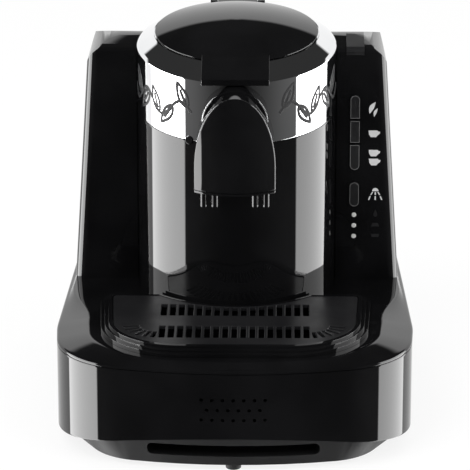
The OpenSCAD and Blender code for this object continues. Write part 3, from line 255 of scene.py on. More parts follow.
def deselect() -> None:
    """Clears the selection, because an operator acts on all that is selected."""
    if bpy.context.object and bpy.context.object.mode != "OBJECT":
        bpy.ops.object.mode_set(mode="OBJECT")
    bpy.ops.object.select_all(action="DESELECT")


def pick(*pieces: bpy.types.Object) -> None:
    """Selects the pieces and makes the first one active.

    Args:
        pieces: The pieces, the active one first.
    """
    deselect()
    for piece in pieces:
        piece.select_set(True)
    bpy.context.view_layer.objects.active = pieces[0]


def move_row(piece: bpy.types.Object, row: list[int], ring: Ring) -> list[int]:
    """Moves a row of points of the piece in edit mode to the places of a ring.

    Args:
        piece: The piece.
        row: The points' numbers.
        ring: Where they go, in millimetres.

    Returns:
        The points' numbers.
    """
    mesh = bmesh.from_edit_mesh(piece.data)
    mesh.verts.ensure_lookup_table()
    for index, place in zip(row, ring):
        mesh.verts[index].co = place * MM
    bmesh.update_edit_mesh(piece.data)
    return row


def extruded_row(piece: bpy.types.Object, row: list[int]) -> list[int]:
    """Finds the selected points that an extrude has made, in the order of the row they came from.

    Args:
        piece: The piece.
        row: The numbers of the points that were extruded.

    Returns:
        The new points' numbers.
    """
    mesh = bmesh.from_edit_mesh(piece.data)
    mesh.verts.index_update()
    mesh.verts.ensure_lookup_table()
    found = []
    for index in row:
        start = mesh.verts[index]
        found.append(next(e.other_vert(start).index for e in start.link_edges if e.other_vert(start).select))
    return found


def select_row(piece: bpy.types.Object, row: list[int]) -> None:
    """Selects a row of points and the edges between them.

    Args:
        piece: The piece.
        row: The points' numbers.
    """
    mesh = bmesh.from_edit_mesh(piece.data)
    mesh.verts.ensure_lookup_table()
    chosen = set(row)
    for vertex in mesh.verts:
        vertex.select = vertex.index in chosen
    mesh.select_flush_mode()
    bmesh.update_edit_mesh(piece.data)


def loft(name: str, rings: list[Ring], ends: Ends = Ends.CAPPED) -> bpy.types.Object:
    """Extrudes a ring of edges through a row of rings.

    Args:
        name: The piece's name.
        rings: The rings in millimetres, all with as many points.
        ends: How the two ends are closed.

    Returns:
        The closed piece.
    """
    deselect()
    bpy.ops.mesh.primitive_circle_add(vertices=len(rings[0]), radius=MM)
    piece = bpy.context.object
    piece.name = piece.data.name = name
    bpy.ops.object.mode_set(mode="EDIT")
    bpy.ops.mesh.select_mode(type="VERT")
    bpy.ops.mesh.select_all(action="SELECT")
    first = row = move_row(piece, list(range(len(rings[0]))), rings[0])
    for ring in rings[1:] + (rings[:1] if ends is Ends.LOOPED else []):
        bpy.ops.mesh.extrude_region_move()
        row = move_row(piece, extruded_row(piece, row), ring)
    if ends is Ends.CAPPED:
        bpy.ops.mesh.edge_face_add()
        select_row(piece, first)
        bpy.ops.mesh.edge_face_add()
    close_up()
    return piece


def close_up() -> None:
    """Merges doubles, turns the faces outwards and leaves edit mode."""
    bpy.ops.mesh.select_all(action="SELECT")
    bpy.ops.mesh.remove_doubles(threshold=1e-6)
    bpy.ops.mesh.normals_make_consistent(inside=False)
    bpy.ops.object.mode_set(mode="OBJECT")


def block(name: str, low: Vector, high: Vector) -> bpy.types.Object:
    """Adds a box from one corner to the other, as a cutter or as stock to be shaped.

    Args:
        name: The box's name.
        low: Its lowest corner.
        high: Its highest corner.

    Returns:
        The box.
    """
    deselect()
    middle, reach = (low + high) / 2 * MM, (high - low) * MM
    bpy.ops.mesh.primitive_cube_add(size=1, location=middle, scale=reach)
    piece = bpy.context.object
    piece.name = piece.data.name = name
    bpy.ops.object.transform_apply(location=True, rotation=True, scale=True)
    return piece


def rod(name: str, start: Vector, end: Vector, radius: float, sides: int = 48) -> bpy.types.Object:
    """Adds a cylinder between two points, as a cutter or as stock to be shaped.

    Args:
        name: The cylinder's name.
        start: The middle of one end.
        end: The middle of the other end.
        radius: Its radius.
        sides: Its number of sides.

    Returns:
        The cylinder.
    """
    deselect()
    turn = (end - start).to_track_quat("Z", "Y").to_euler()
    bpy.ops.mesh.primitive_cylinder_add(
        vertices=sides, radius=radius * MM, depth=(end - start).length * MM,
        location=(start + end) / 2 * MM, rotation=turn,
    )
    piece = bpy.context.object
    piece.name = piece.data.name = name
    bpy.ops.object.transform_apply(location=True, rotation=True, scale=True)
    return piece


def joined(name: str, pieces: list[bpy.types.Object]) -> bpy.types.Object:
    """Joins pieces that don't meet into one object.

    Args:
        name: The whole's name.
        pieces: The pieces.

    Returns:
        The whole.
    """
    pick(*pieces)
    if len(pieces) > 1:
        bpy.ops.object.join()
    pieces[0].name = pieces[0].data.name = name
    return pieces[0]


class Join(Enum):
    """What a second solid does to the first."""

    CUT = "DIFFERENCE"
    ADD = "UNION"


def combine(piece: bpy.types.Object, other: bpy.types.Object, how: Join) -> None:
    """Cuts another solid out of a piece or adds it, and removes the other.

    Args:
        piece: The piece.
        other: The other solid.
        how: Whether it is cut out or added.
    """
    pick(piece)
    bpy.ops.object.modifier_add(type="BOOLEAN")
    boolean = piece.modifiers[-1]
    boolean.operation = how.value
    boolean.solver = "EXACT"
    boolean.object = other
    bpy.ops.object.modifier_apply(modifier=boolean.name)
    bpy.data.objects.remove(other)


def soften(piece: bpy.types.Object, width: float, segments: int = 2, angle: float = 32.0) -> None:
    """Rounds the sharp edges of a piece.

    Args:
        piece: The piece.
        width: The width of the rounding.
        segments: Steps across it.
        angle: Edges sharper than this many degrees are rounded.
    """
    pick(piece)
    bpy.ops.object.modifier_add(type="BEVEL")
    bevel = piece.modifiers[-1]
    bevel.width = width * MM
    bevel.segments = segments
    bevel.limit_method = "ANGLE"
    bevel.angle_limit = math.radians(angle)
    bevel.use_clamp_overlap = True
    bevel.miter_outer = "MITER_ARC"
    bpy.ops.object.modifier_apply(modifier=bevel.name)


def smooth(piece: bpy.types.Object, angle: float = 28.0) -> None:
    """Shades a piece smooth, and keeps its large faces flat beside small roundings.

    Args:
        piece: The piece.
        angle: Edges flatter than this many degrees are shaded smooth.
    """
    pick(piece)
    bpy.ops.object.shade_smooth_by_angle(angle=math.radians(angle))
    bpy.ops.object.modifier_add(type="WEIGHTED_NORMAL")
    weighted = piece.modifiers[-1]
    weighted.mode = "FACE_AREA"
    weighted.keep_sharp = True
    bpy.ops.object.modifier_apply(modifier=weighted.name)


def ribbon(name: str, path: Ring, outwards: Ring, reach: Pair, ends: Ends) -> bpy.types.Object:
    """Sweeps a small oval section along a path.

    Args:
        name: The piece's name.
        path: The points of the path.
        outwards: The direction at each point that the section's first point faces.
        reach: Half the section's width and half its thickness.
        ends: Whether the path is open or a loop.

    Returns:
        The closed ribbon.
    """
    sides, last = 8, len(path) - 1
    rings = []
    for i, point in enumerate(path):
        if ends is Ends.LOOPED:
            along = (path[(i + 1) % len(path)] - path[i - 1]).normalized()
        else:
            along = (path[min(i + 1, last)] - path[max(i - 1, 0)]).normalized()
        across = along.cross(outwards[i]).normalized()
        up = across.cross(along)
        rings.append([
            point + up * reach[1] * math.cos(turn) + across * reach[0] * math.sin(turn)
            for turn in (math.tau * k / sides for k in range(sides))
        ])
    return loft(name, rings, ends)


# ======== node trees ========
class Tree:
    """A node tree with short calls that add, set and link nodes."""

    def __init__(self, tree: bpy.types.NodeTree) -> None:
        """Starts on an empty tree."""
        self.tree = tree
        tree.nodes.clear()

    def add(self, kind: str, inputs: dict | None = None, **settings: object) -> bpy.types.Node:
        """Adds a node.

        Args:
            kind: The node's type.
            inputs: Values or sockets for its inputs, by name or number.
            settings: The node's own settings.

        Returns:
            The node.
        """
        made = self.tree.nodes.new(kind)
        for key, value in settings.items():
            setattr(made, key, value)
        for key, value in (inputs or {}).items():
            if isinstance(value, bpy.types.NodeSocket):
                self.tree.links.new(value, made.inputs[key])
            else:
                made.inputs[key].default_value = value
        return made

    def sum(self, operation: str, *values: object) -> bpy.types.NodeSocket:
        """Adds a Math node and returns its result."""
        return self.add("ShaderNodeMath", dict(enumerate(values)), operation=operation).outputs[0]

    def step(self, value: object, low: float, high: float, start: float = 0.0, end: float = 1.0) -> object:
        """Adds a smooth step from start to end as the value goes from low to high."""
        return self.add(
            "ShaderNodeMapRange", {0: value, 1: low, 2: high, 3: start, 4: end},
            interpolation_type="SMOOTHSTEP",
        ).outputs[0]


class Groups:
    """The shader groups that the finishes share, each built once."""

    def __init__(self) -> None:
        """Starts with no group made."""
        self.made: dict[str, bpy.types.NodeTree] = {}

    def _new(self, name: str, inputs: dict[str, str], output: tuple[str, str]) -> tuple[Tree, object]:
        """Makes an empty group with named sockets.

        Args:
            name: The group's name.
            inputs: The kind of each input socket by its name.
            output: The name and kind of the output socket.

        Returns:
            The tree and its Group Input node.
        """
        group = bpy.data.node_groups.new(name, "ShaderNodeTree")
        tree = Tree(group)
        for key, kind in inputs.items():
            group.interface.new_socket(key, in_out="INPUT", socket_type=kind)
        group.interface.new_socket(output[0], in_out="OUTPUT", socket_type=output[1])
        self.made[name] = group
        return tree, tree.add("NodeGroupInput")

    def cloudy_tone(self) -> bpy.types.NodeTree:
        """A colour that drifts between two tones over the surface.

        Returns:
            The group.
        """
        if "cloudy_tone" not in self.made:
            kinds = {"Dark": "NodeSocketColor", "Light": "NodeSocketColor", "Scale": "NodeSocketFloat"}
            tree, given = self._new("cloudy_tone", kinds, ("Colour", "NodeSocketColor"))
            place = tree.add("ShaderNodeTexCoord").outputs["Object"]
            dark, light, scale = (given.outputs[key] for key in kinds)
            noise = tree.add("ShaderNodeTexNoise", {"Vector": place, "Scale": scale, "Detail": 4.0})
            share = tree.step(noise.outputs[0], 0.3, 0.7)
            mix = tree.add("ShaderNodeMix", {0: share, 6: dark, 7: light}, data_type="RGBA")
            tree.add("NodeGroupOutput", {0: mix.outputs[2]})
        return self.made["cloudy_tone"]

    def haze(self) -> bpy.types.NodeTree:
        """Roughness with faint wipe marks and small specks of dust.

        Returns:
            The group.
        """
        if "haze" not in self.made:
            kinds = {"Low": "NodeSocketFloat", "High": "NodeSocketFloat", "Scale": "NodeSocketFloat"}
            tree, given = self._new("haze", kinds, ("Roughness", "NodeSocketFloat"))
            place = tree.add("ShaderNodeTexCoord").outputs["Object"]
            wiped = tree.add("ShaderNodeMapping", {"Vector": place, "Scale": (1.0, 1.0, 0.35)}).outputs[0]
            marks = tree.add(
                "ShaderNodeTexNoise",
                {"Vector": wiped, "Scale": given.outputs["Scale"], "Detail": 6.0, "Distortion": 0.8},
            )
            dust = tree.add("ShaderNodeTexVoronoi", {"Vector": place, "Scale": 900.0})
            speck = tree.step(dust.outputs["Distance"], 0.0, 0.12, 0.25, 0.0)
            share = tree.sum("ADD", tree.step(marks.outputs[0], 0.35, 0.75), speck)
            span = tree.sum("SUBTRACT", given.outputs["High"], given.outputs["Low"])
            tree.add("NodeGroupOutput", {0: tree.sum("MULTIPLY_ADD", share, span, given.outputs["Low"])})
        return self.made["haze"]

    def grain(self) -> bpy.types.NodeTree:
        """The height of a fine grain, drawn out along one axis where that is asked for.

        Returns:
            The group.
        """
        if "grain" not in self.made:
            kinds = {"Scale": "NodeSocketFloat", "Stretch": "NodeSocketVector"}
            tree, given = self._new("grain", kinds, ("Height", "NodeSocketFloat"))
            place = tree.add("ShaderNodeTexCoord").outputs["Object"]
            scale, stretch = (given.outputs[key] for key in kinds)
            drawn = tree.add("ShaderNodeMapping", {"Vector": place, "Scale": stretch}).outputs[0]
            noise = tree.add("ShaderNodeTexNoise", {"Vector": drawn, "Scale": scale, "Detail": 3.0})
            tree.add("NodeGroupOutput", {0: noise.outputs[0]})
        return self.made["grain"]

    def worn_edge(self) -> bpy.types.NodeTree:
        """A mask that is bright on outer edges, broken up as wear is.

        Returns:
            The group.
        """
        if "worn_edge" not in self.made:
            tree, given = self._new("worn_edge", {"Amount": "NodeSocketFloat"}, ("Mask", "NodeSocketFloat"))
            place = tree.add("ShaderNodeTexCoord").outputs["Object"]
            sharp = tree.step(tree.add("ShaderNodeNewGeometry").outputs["Pointiness"], 0.52, 0.62)
            noise = tree.add("ShaderNodeTexNoise", {"Vector": place, "Scale": 220.0, "Detail": 5.0})
            broken = tree.sum("MULTIPLY", sharp, tree.step(noise.outputs[0], 0.35, 0.6))
            tree.add("NodeGroupOutput", {0: tree.sum("MULTIPLY", broken, given.outputs["Amount"])})
        return self.made["worn_edge"]


GROUPS = Groups()


# ======== finishes ========
class Grain(Enum):
    """The direction and size of a finish's grain."""

    FINE = (1.0, 1.0, 1.0)
    ACROSS = (0.04, 1.0, 1.0)
    ROUND = (1.0, 1.0, 0.03)


@dataclass(frozen=True)
class Finish:
    """One finish: two tones, a span of roughness, a grain and how metallic or clear it is."""

    name: str
    dark: Colour
    light: Colour
    rough: Pair
    grain: Grain = Grain.FINE
    grain_scale: float = 900.0
    relief: float = 0.0
    metallic: float = 0.0
    clear: float = 0.0
    ior: float = 1.5
    coat: float = 0.0
    specular: float = 0.5
    wear: float = 0.0
    tone_scale: float = 22.0

    def material(self) -> bpy.types.Material:
        """Returns the finish's material, built at its first use."""
        known = bpy.data.materials.get(self.name)
        return known or self._build()

    def _build(self) -> bpy.types.Material:
        """Builds the material from the shared groups.

        Returns:
            The material.
        """
        material = bpy.data.materials.new(self.name)
        material.use_nodes = True
        tree = Tree(material.node_tree)
        tone = self._group(tree, GROUPS.cloudy_tone(), {
            "Dark": (*self.dark, 1.0), "Light": (*self.light, 1.0), "Scale": self.tone_scale,
        })
        rough = self._group(tree, GROUPS.haze(), {
            "Low": self.rough[0], "High": self.rough[1], "Scale": self.tone_scale * 1.7,
        })
        if self.wear > 0:
            mask = self._group(tree, GROUPS.worn_edge(), {"Amount": self.wear})
            worn = (*(min(1.0, c * 1.6 + 0.03) for c in self.light), 1.0)
            tone = tree.add("ShaderNodeMix", {0: mask, 6: tone, 7: worn}, data_type="RGBA").outputs[2]
        inputs = {
            "Base Color": tone, "Roughness": rough, "Metallic": self.metallic, "IOR": self.ior,
            "Transmission Weight": self.clear, "Coat Weight": self.coat, "Coat Roughness": 0.04,
            "Specular IOR Level": self.specular,
        }
        if self.relief > 0:
            height = self._group(tree, GROUPS.grain(), {
                "Scale": self.grain_scale, "Stretch": self.grain.value,
            })
            bump = tree.add("ShaderNodeBump", {
                "Height": height, "Distance": self.relief * MM, "Strength": 1.0,
            })
            inputs["Normal"] = bump.outputs[0]
        shader = tree.add("ShaderNodeBsdfPrincipled", inputs)
        tree.add("ShaderNodeOutputMaterial", {"Surface": shader.outputs[0]})
        return material

    @staticmethod
    def _group(tree: Tree, group: bpy.types.NodeTree, inputs: dict) -> bpy.types.NodeSocket:
        """Places a shared group in a material and returns its output."""
        return tree.add("ShaderNodeGroup", inputs, node_tree=group).outputs[0]


FINISHES: dict[str, Finish] = {
    "gloss_black": Finish(
        "black_gloss_shell", (0.0035, 0.0035, 0.0038), (0.0065, 0.0065, 0.0070), (0.015, 0.045),
        relief=0.0006, grain_scale=260.0,
    ),
    "satin_black": Finish(
        "black_satin_moulding", (0.010, 0.010, 0.011), (0.016, 0.016, 0.017), (0.30, 0.42), relief=0.010,
        wear=0.15,
    ),
    "matte_black": Finish(
        "black_matte_skirt", (0.010, 0.010, 0.0105), (0.015, 0.015, 0.0155), (0.48, 0.62), relief=0.02,
        specular=0.2, wear=0.1,
    ),
    "smoke_tank": Finish(
        "smoked_clear_tank", (0.11, 0.115, 0.125), (0.15, 0.155, 0.165), (0.03, 0.10), clear=0.9, ior=1.49,
    ),
    "collar_chrome": Finish(
        "bright_chrome", (0.84, 0.85, 0.86), (0.90, 0.90, 0.91), (0.012, 0.035), metallic=1.0,
    ),
    "bright_steel": Finish(
        "drawn_steel", (0.56, 0.57, 0.59), (0.68, 0.69, 0.70), (0.16, 0.28), grain=Grain.ROUND,
        grain_scale=1800.0, relief=0.006, metallic=1.0, wear=0.2,
    ),
    "screw_steel": Finish(
        "plated_screws", (0.50, 0.50, 0.50), (0.62, 0.62, 0.64), (0.26, 0.40), relief=0.01, metallic=1.0,
        wear=0.3,
    ),
    "cast_aluminium": Finish(
        "cast_heater_block", (0.50, 0.51, 0.52), (0.62, 0.62, 0.63), (0.42, 0.58), grain_scale=420.0,
        relief=0.08, metallic=1.0,
    ),
    "button_grey": Finish(
        "dark_satin_key", (0.012, 0.012, 0.013), (0.020, 0.020, 0.021), (0.26, 0.38), relief=0.006, wear=0.3,
    ),
    "lens_white": Finish(
        "frosted_light_pipe", (0.66, 0.66, 0.64), (0.76, 0.76, 0.74), (0.25, 0.36), coat=0.4,
    ),
    "rubber_black": Finish(
        "rubber_foot", (0.014, 0.014, 0.014), (0.024, 0.024, 0.024), (0.70, 0.85), relief=0.03,
    ),
    "silicone": Finish(
        "clear_silicone", (0.68, 0.66, 0.60), (0.78, 0.76, 0.70), (0.38, 0.50), clear=0.25, ior=1.41,
    ),
    "seal_red": Finish(
        "red_seal", (0.30, 0.05, 0.03), (0.42, 0.08, 0.05), (0.50, 0.65), relief=0.01,
    ),
    "board_green": Finish(
        "board_mask", (0.018, 0.13, 0.05), (0.035, 0.21, 0.09), (0.24, 0.36), grain_scale=500.0, relief=0.02,
        tone_scale=260.0,
    ),
    "part_dark": Finish(
        "dark_nylon", (0.024, 0.024, 0.026), (0.040, 0.040, 0.043), (0.44, 0.58), relief=0.02, wear=0.25,
    ),
    "part_pale": Finish(
        "pale_nylon", (0.58, 0.57, 0.52), (0.68, 0.67, 0.62), (0.40, 0.52), relief=0.02,
    ),
    "motor_steel": Finish(
        "motor_can", (0.40, 0.41, 0.42), (0.52, 0.53, 0.54), (0.24, 0.36), grain=Grain.ACROSS,
        grain_scale=1500.0, relief=0.01, metallic=1.0,
    ),
    "impeller_brass": Finish(
        "turned_brass", (0.60, 0.44, 0.18), (0.72, 0.54, 0.26), (0.18, 0.30), relief=0.005, metallic=1.0,
    ),
    "rocker_red": Finish(
        "red_rocker", (0.26, 0.010, 0.010), (0.34, 0.018, 0.016), (0.14, 0.24), relief=0.003,
    ),
    "ribbon_grey": Finish(
        "ribbon_jacket", (0.34, 0.34, 0.33), (0.44, 0.44, 0.43), (0.42, 0.54), grain=Grain.ROUND,
        grain_scale=900.0, relief=0.05,
    ),
}
PRINT = Finish("pale_print", (0.60, 0.60, 0.60), (0.70, 0.70, 0.70), (0.40, 0.52), relief=0.004)
# Painted shade: the relief is shaped for real, but its lines are coloured dark satin instead of chrome, so
# they show as the dark shaded lines on the bright band.
RELIEF_PAINTED_SHADE = Finish("relief_painted_shade", (0.030, 0.030, 0.031), (0.055, 0.055, 0.056), (0.30, 0.42), specular=0.1)
FAINT_PRINT = Finish("faint_print", (0.014, 0.014, 0.015), (0.020, 0.020, 0.021), (0.35, 0.48))
# Painted highlight: a pale grey line on each key's edge stands in for the light that the edge catches.
KEY_EDGE_HIGHLIGHT = Finish("painted_key_edge_highlight", (0.17, 0.17, 0.17), (0.23, 0.23, 0.23), (0.22, 0.34), relief=0.003)
NODE_SLOTS: dict[str, str] = {s["node"]: s["material_slot"] for s in frame["record"]["subparts"]}


def finish_piece(
    piece: bpy.types.Object, slot: str, body: str, replaced: tuple[str, ...] = (),
    finish: Finish | None = None,
) -> bpy.types.Object:
    """Gives a piece its finish and its place in the machine.

    Args:
        piece: The piece, whose mesh is final.
        slot: The record's material slot.
        body: The body that carries it.
        replaced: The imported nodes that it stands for.
        finish: The finish, where it isn't the slot's own.

    Returns:
        The piece.
    """
    piece.data.materials.clear()
    piece.data.materials.append((finish or FINISHES[slot]).material())
    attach(piece, body)
    if replaced:
        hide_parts(*replaced)
    log.info("%s: %d faces, on %s", piece.name, len(piece.data.polygons), body)
    return piece


def dressed_copy(node: str, width: float = 0.35, segments: int = 2) -> bpy.types.Object:
    """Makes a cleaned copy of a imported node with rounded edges, which replaces it.

    Args:
        node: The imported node.
        width: The width of the rounding.
        segments: Steps across the rounding.

    Returns:
        The copy, finished.
    """
    source = frame["nodes"][node]
    piece = bpy.data.objects.new(f"{node}_shell", source.data.copy())
    bpy.context.scene.collection.objects.link(piece)
    pick(piece)
    bpy.ops.object.mode_set(mode="EDIT")
    bpy.ops.mesh.select_all(action="SELECT")
    bpy.ops.mesh.remove_doubles(threshold=2e-6)
    bpy.ops.mesh.dissolve_limited(angle_limit=math.radians(0.2))
    bpy.ops.object.mode_set(mode="OBJECT")
    bpy.ops.mesh.customdata_custom_splitnormals_clear()
    if width > 0:
        soften(piece, width, segments)
    smooth(piece)
    return finish_piece(piece, NODE_SLOTS[node], source["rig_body"], (node,))


# ======== the base ========
@dataclass
class Base:
    """The gloss band, the deck and the matte skirt of the base."""

    panel_low: float = 25.5
    panel_arch: float = 13.5
    wall: float = 2.6
    edge: float = 6.0
    seam: float = 0.3
    front_r: float = 304.0
    front_sweep: float = math.radians(13.3)
    corner_inboard: float = 4.0
    front_corner_r: float = 58.0
    side_swell: float = 0.2
    side_back: float = 85.0
    side_r: float = 150.0
    rear_inset: float = 7.5
    rear_corner_r: float = 22.0
    hole_pitch: float = 7.1
    hole_r: float = 1.2
    hole_drop: float = 25.6
    edge_fall: float = 3.4
    edge_round: float = 2.2
    margins: tuple[float, float, float] = (8.5, 21.5, 4.5)
    front_to_side: Pair = (55.0, 108.0)
    side_to_rear: Pair = (-45.0, 20.0)
    hole_rows: tuple[tuple[int, int], ...] = ((7, 1), (6, 0), (7, -1))
    tray_opening_gap: float = 8.4
    column_bore_inset: float = 6.5
    valve_bore_r: float = 10.25
    plan: Plan = field(init=False)

    def __post_init__(self) -> None:
        """Traces the plan of the base."""
        vertex = SIZE.front_y - self.front_r * (1 / math.cos(self.front_sweep) - 1)
        corner_x = SIZE.base_half - self.corner_inboard
        self.plan = Plan([(0.0, vertex, self.front_r)] + mirrored([
            (corner_x, vertex + corner_x * math.tan(self.front_sweep), self.front_corner_r),
            (SIZE.base_half + self.side_swell, SIZE.front_y + self.side_back, self.side_r),
            (SIZE.base_half - self.rear_inset, SIZE.back_y, self.rear_corner_r),
        ]), steps=18)

    @property
    def parting_z(self) -> float:
        """The seam between the band and the deck."""
        return SIZE.deck_z - self.edge

    def arch_z(self, x: float, _y: float = 0.0) -> float:
        """The lower edge of the band above a point.

        Args:
            x: The point's place across.
            _y: Its depth, which makes no difference.

        Returns:
            The height.
        """
        half = SIZE.base_half
        radius = (half * half + self.panel_arch ** 2) / (2 * self.panel_arch)
        return self.panel_low - radius + math.sqrt(radius * radius - x * x)

    def margin(self, x: float, y: float) -> float:
        """The width of the deck's sloped margin at a point of its edge.

        Args:
            x: The point's place across.
            y: The point's depth.

        Returns:
            The width.
        """
        front, side, rear = self.margins
        width = front + (side - front) * smooth_step(*self.front_to_side, abs(x))
        return width + (rear - width) * smooth_step(*self.side_to_rear, y)

    def band(self) -> bpy.types.Object:
        """Models the gloss band with its arched lower edge and the speaker holes.

        Returns:
            The band.
        """
        top = self.parting_z - self.seam
        ring = self.plan.ring
        band = loft("gloss_band", [
            ring(0.45, self.arch_z),
            ring(0.12, lambda x, y: self.arch_z(x) + 0.15),
            ring(0.0, lambda x, y: self.arch_z(x) + 0.5),
            ring(0.0, lambda x, y: self.arch_z(x) + 1.0),
            ring(0.0, top - 1.0),
            ring(0.0, top - 0.5),
            ring(0.12, top - 0.15),
            ring(0.45, top),
            ring(self.wall, top),
            ring(self.wall, self.arch_z),
        ], Ends.LOOPED)
        cutters = []
        for count, row in self.hole_rows:
            for i in range(count):
                x = (i - (count - 1) / 2) * self.hole_pitch
                z = self.parting_z - self.hole_drop + row * self.hole_pitch
                start = Vector((x, SIZE.front_y - 1, z))
                cutters.append(rod("hole", start, start + Vector((0, 8, 0)), self.hole_r, 20))
        combine(band, joined("holes", cutters), Join.CUT)
        panel = corners("rear_panel")[1].x + self.seam
        low, high = Vector((-panel, SIZE.back_y - 8, 0)), Vector((panel, SIZE.back_y + 9, 99))
        combine(band, block("rear", low, high), Join.CUT)
        smooth(band)
        return finish_piece(band, "gloss_black", "base", ("base_body",))

    def deck(self, opening: Callable[[float, float], Ring]) -> bpy.types.Object:
        """Models the deck with its rounded edge and sloped margin.

        Args:
            opening: Gives the ring of the tray at an inward gap and a height.

        Returns:
            The deck.
        """
        top, low = SIZE.deck_z, self.parting_z
        shoulder = top - self.edge_fall
        ring = self.plan.ring
        edge = [
            ring(self.edge_round * (1 - math.cos(a)), low + 1.0 + (shoulder - low - 1.0) * math.sin(a))
            for a in (math.radians(15 * k) for k in range(6))
        ]
        slope = [
            ring(lambda x, y, s=share: self.edge_round + (self.margin(x, y) - self.edge_round) * s,
                 shoulder + self.edge_fall * (share - drop))
            for share, drop in ((0.06, 0.0), (0.3, 0.0), (0.6, 0.0), (0.86, 0.0), (0.94, 0.012), (1.0, 0.03))
        ]
        deck = loft("deck_shell", [
            ring(lambda x, y: self.margin(x, y) + 4.0, top - 3.0),
            ring(3.6, low + 0.6),
            ring(3.2, low),
            ring(0.3, low),
            ring(0.06, low + 0.1),
            ring(0.0, low + 0.35),
            *edge,
            *slope,
            ring(lambda x, y: self.margin(x, y) + 1.2, top),
            ring(lambda x, y: self.margin(x, y) + 4.0, top),
        ])
        gap = self.tray_opening_gap
        combine(deck, loft("opening", [opening(gap, 50.0), opening(gap, 100.0)]), Join.CUT)
        socket_low, socket_high = corners("inlet_socket")
        socket = (socket_low + socket_high) / 2
        for name, x, y, radius, sides in (
            ("bore", 0, SIZE.column_y, SIZE.column_r - self.column_bore_inset, 96),
            ("valve_bore", socket.x, socket.y, self.valve_bore_r, 48),
        ):
            foot = Vector((x, y, 50))
            combine(deck, rod(name, foot, foot + Vector((0, 0, 60)), radius, sides), Join.CUT)
        smooth(deck)
        return finish_piece(deck, "gloss_black", "base", ("base_deck",))

    def build(self, opening: Callable[[float, float], Ring]) -> None:
        """Builds the base.

        Args:
            opening: Gives the ring of the tray at an inward gap and a height.
        """
        self.band()
        self.deck(opening)
        dressed_copy("rear_panel", 0.25)
        dressed_copy("bottom_chassis", 0.5, 3)
        dressed_copy("rubber_feet", 0.6, 3)


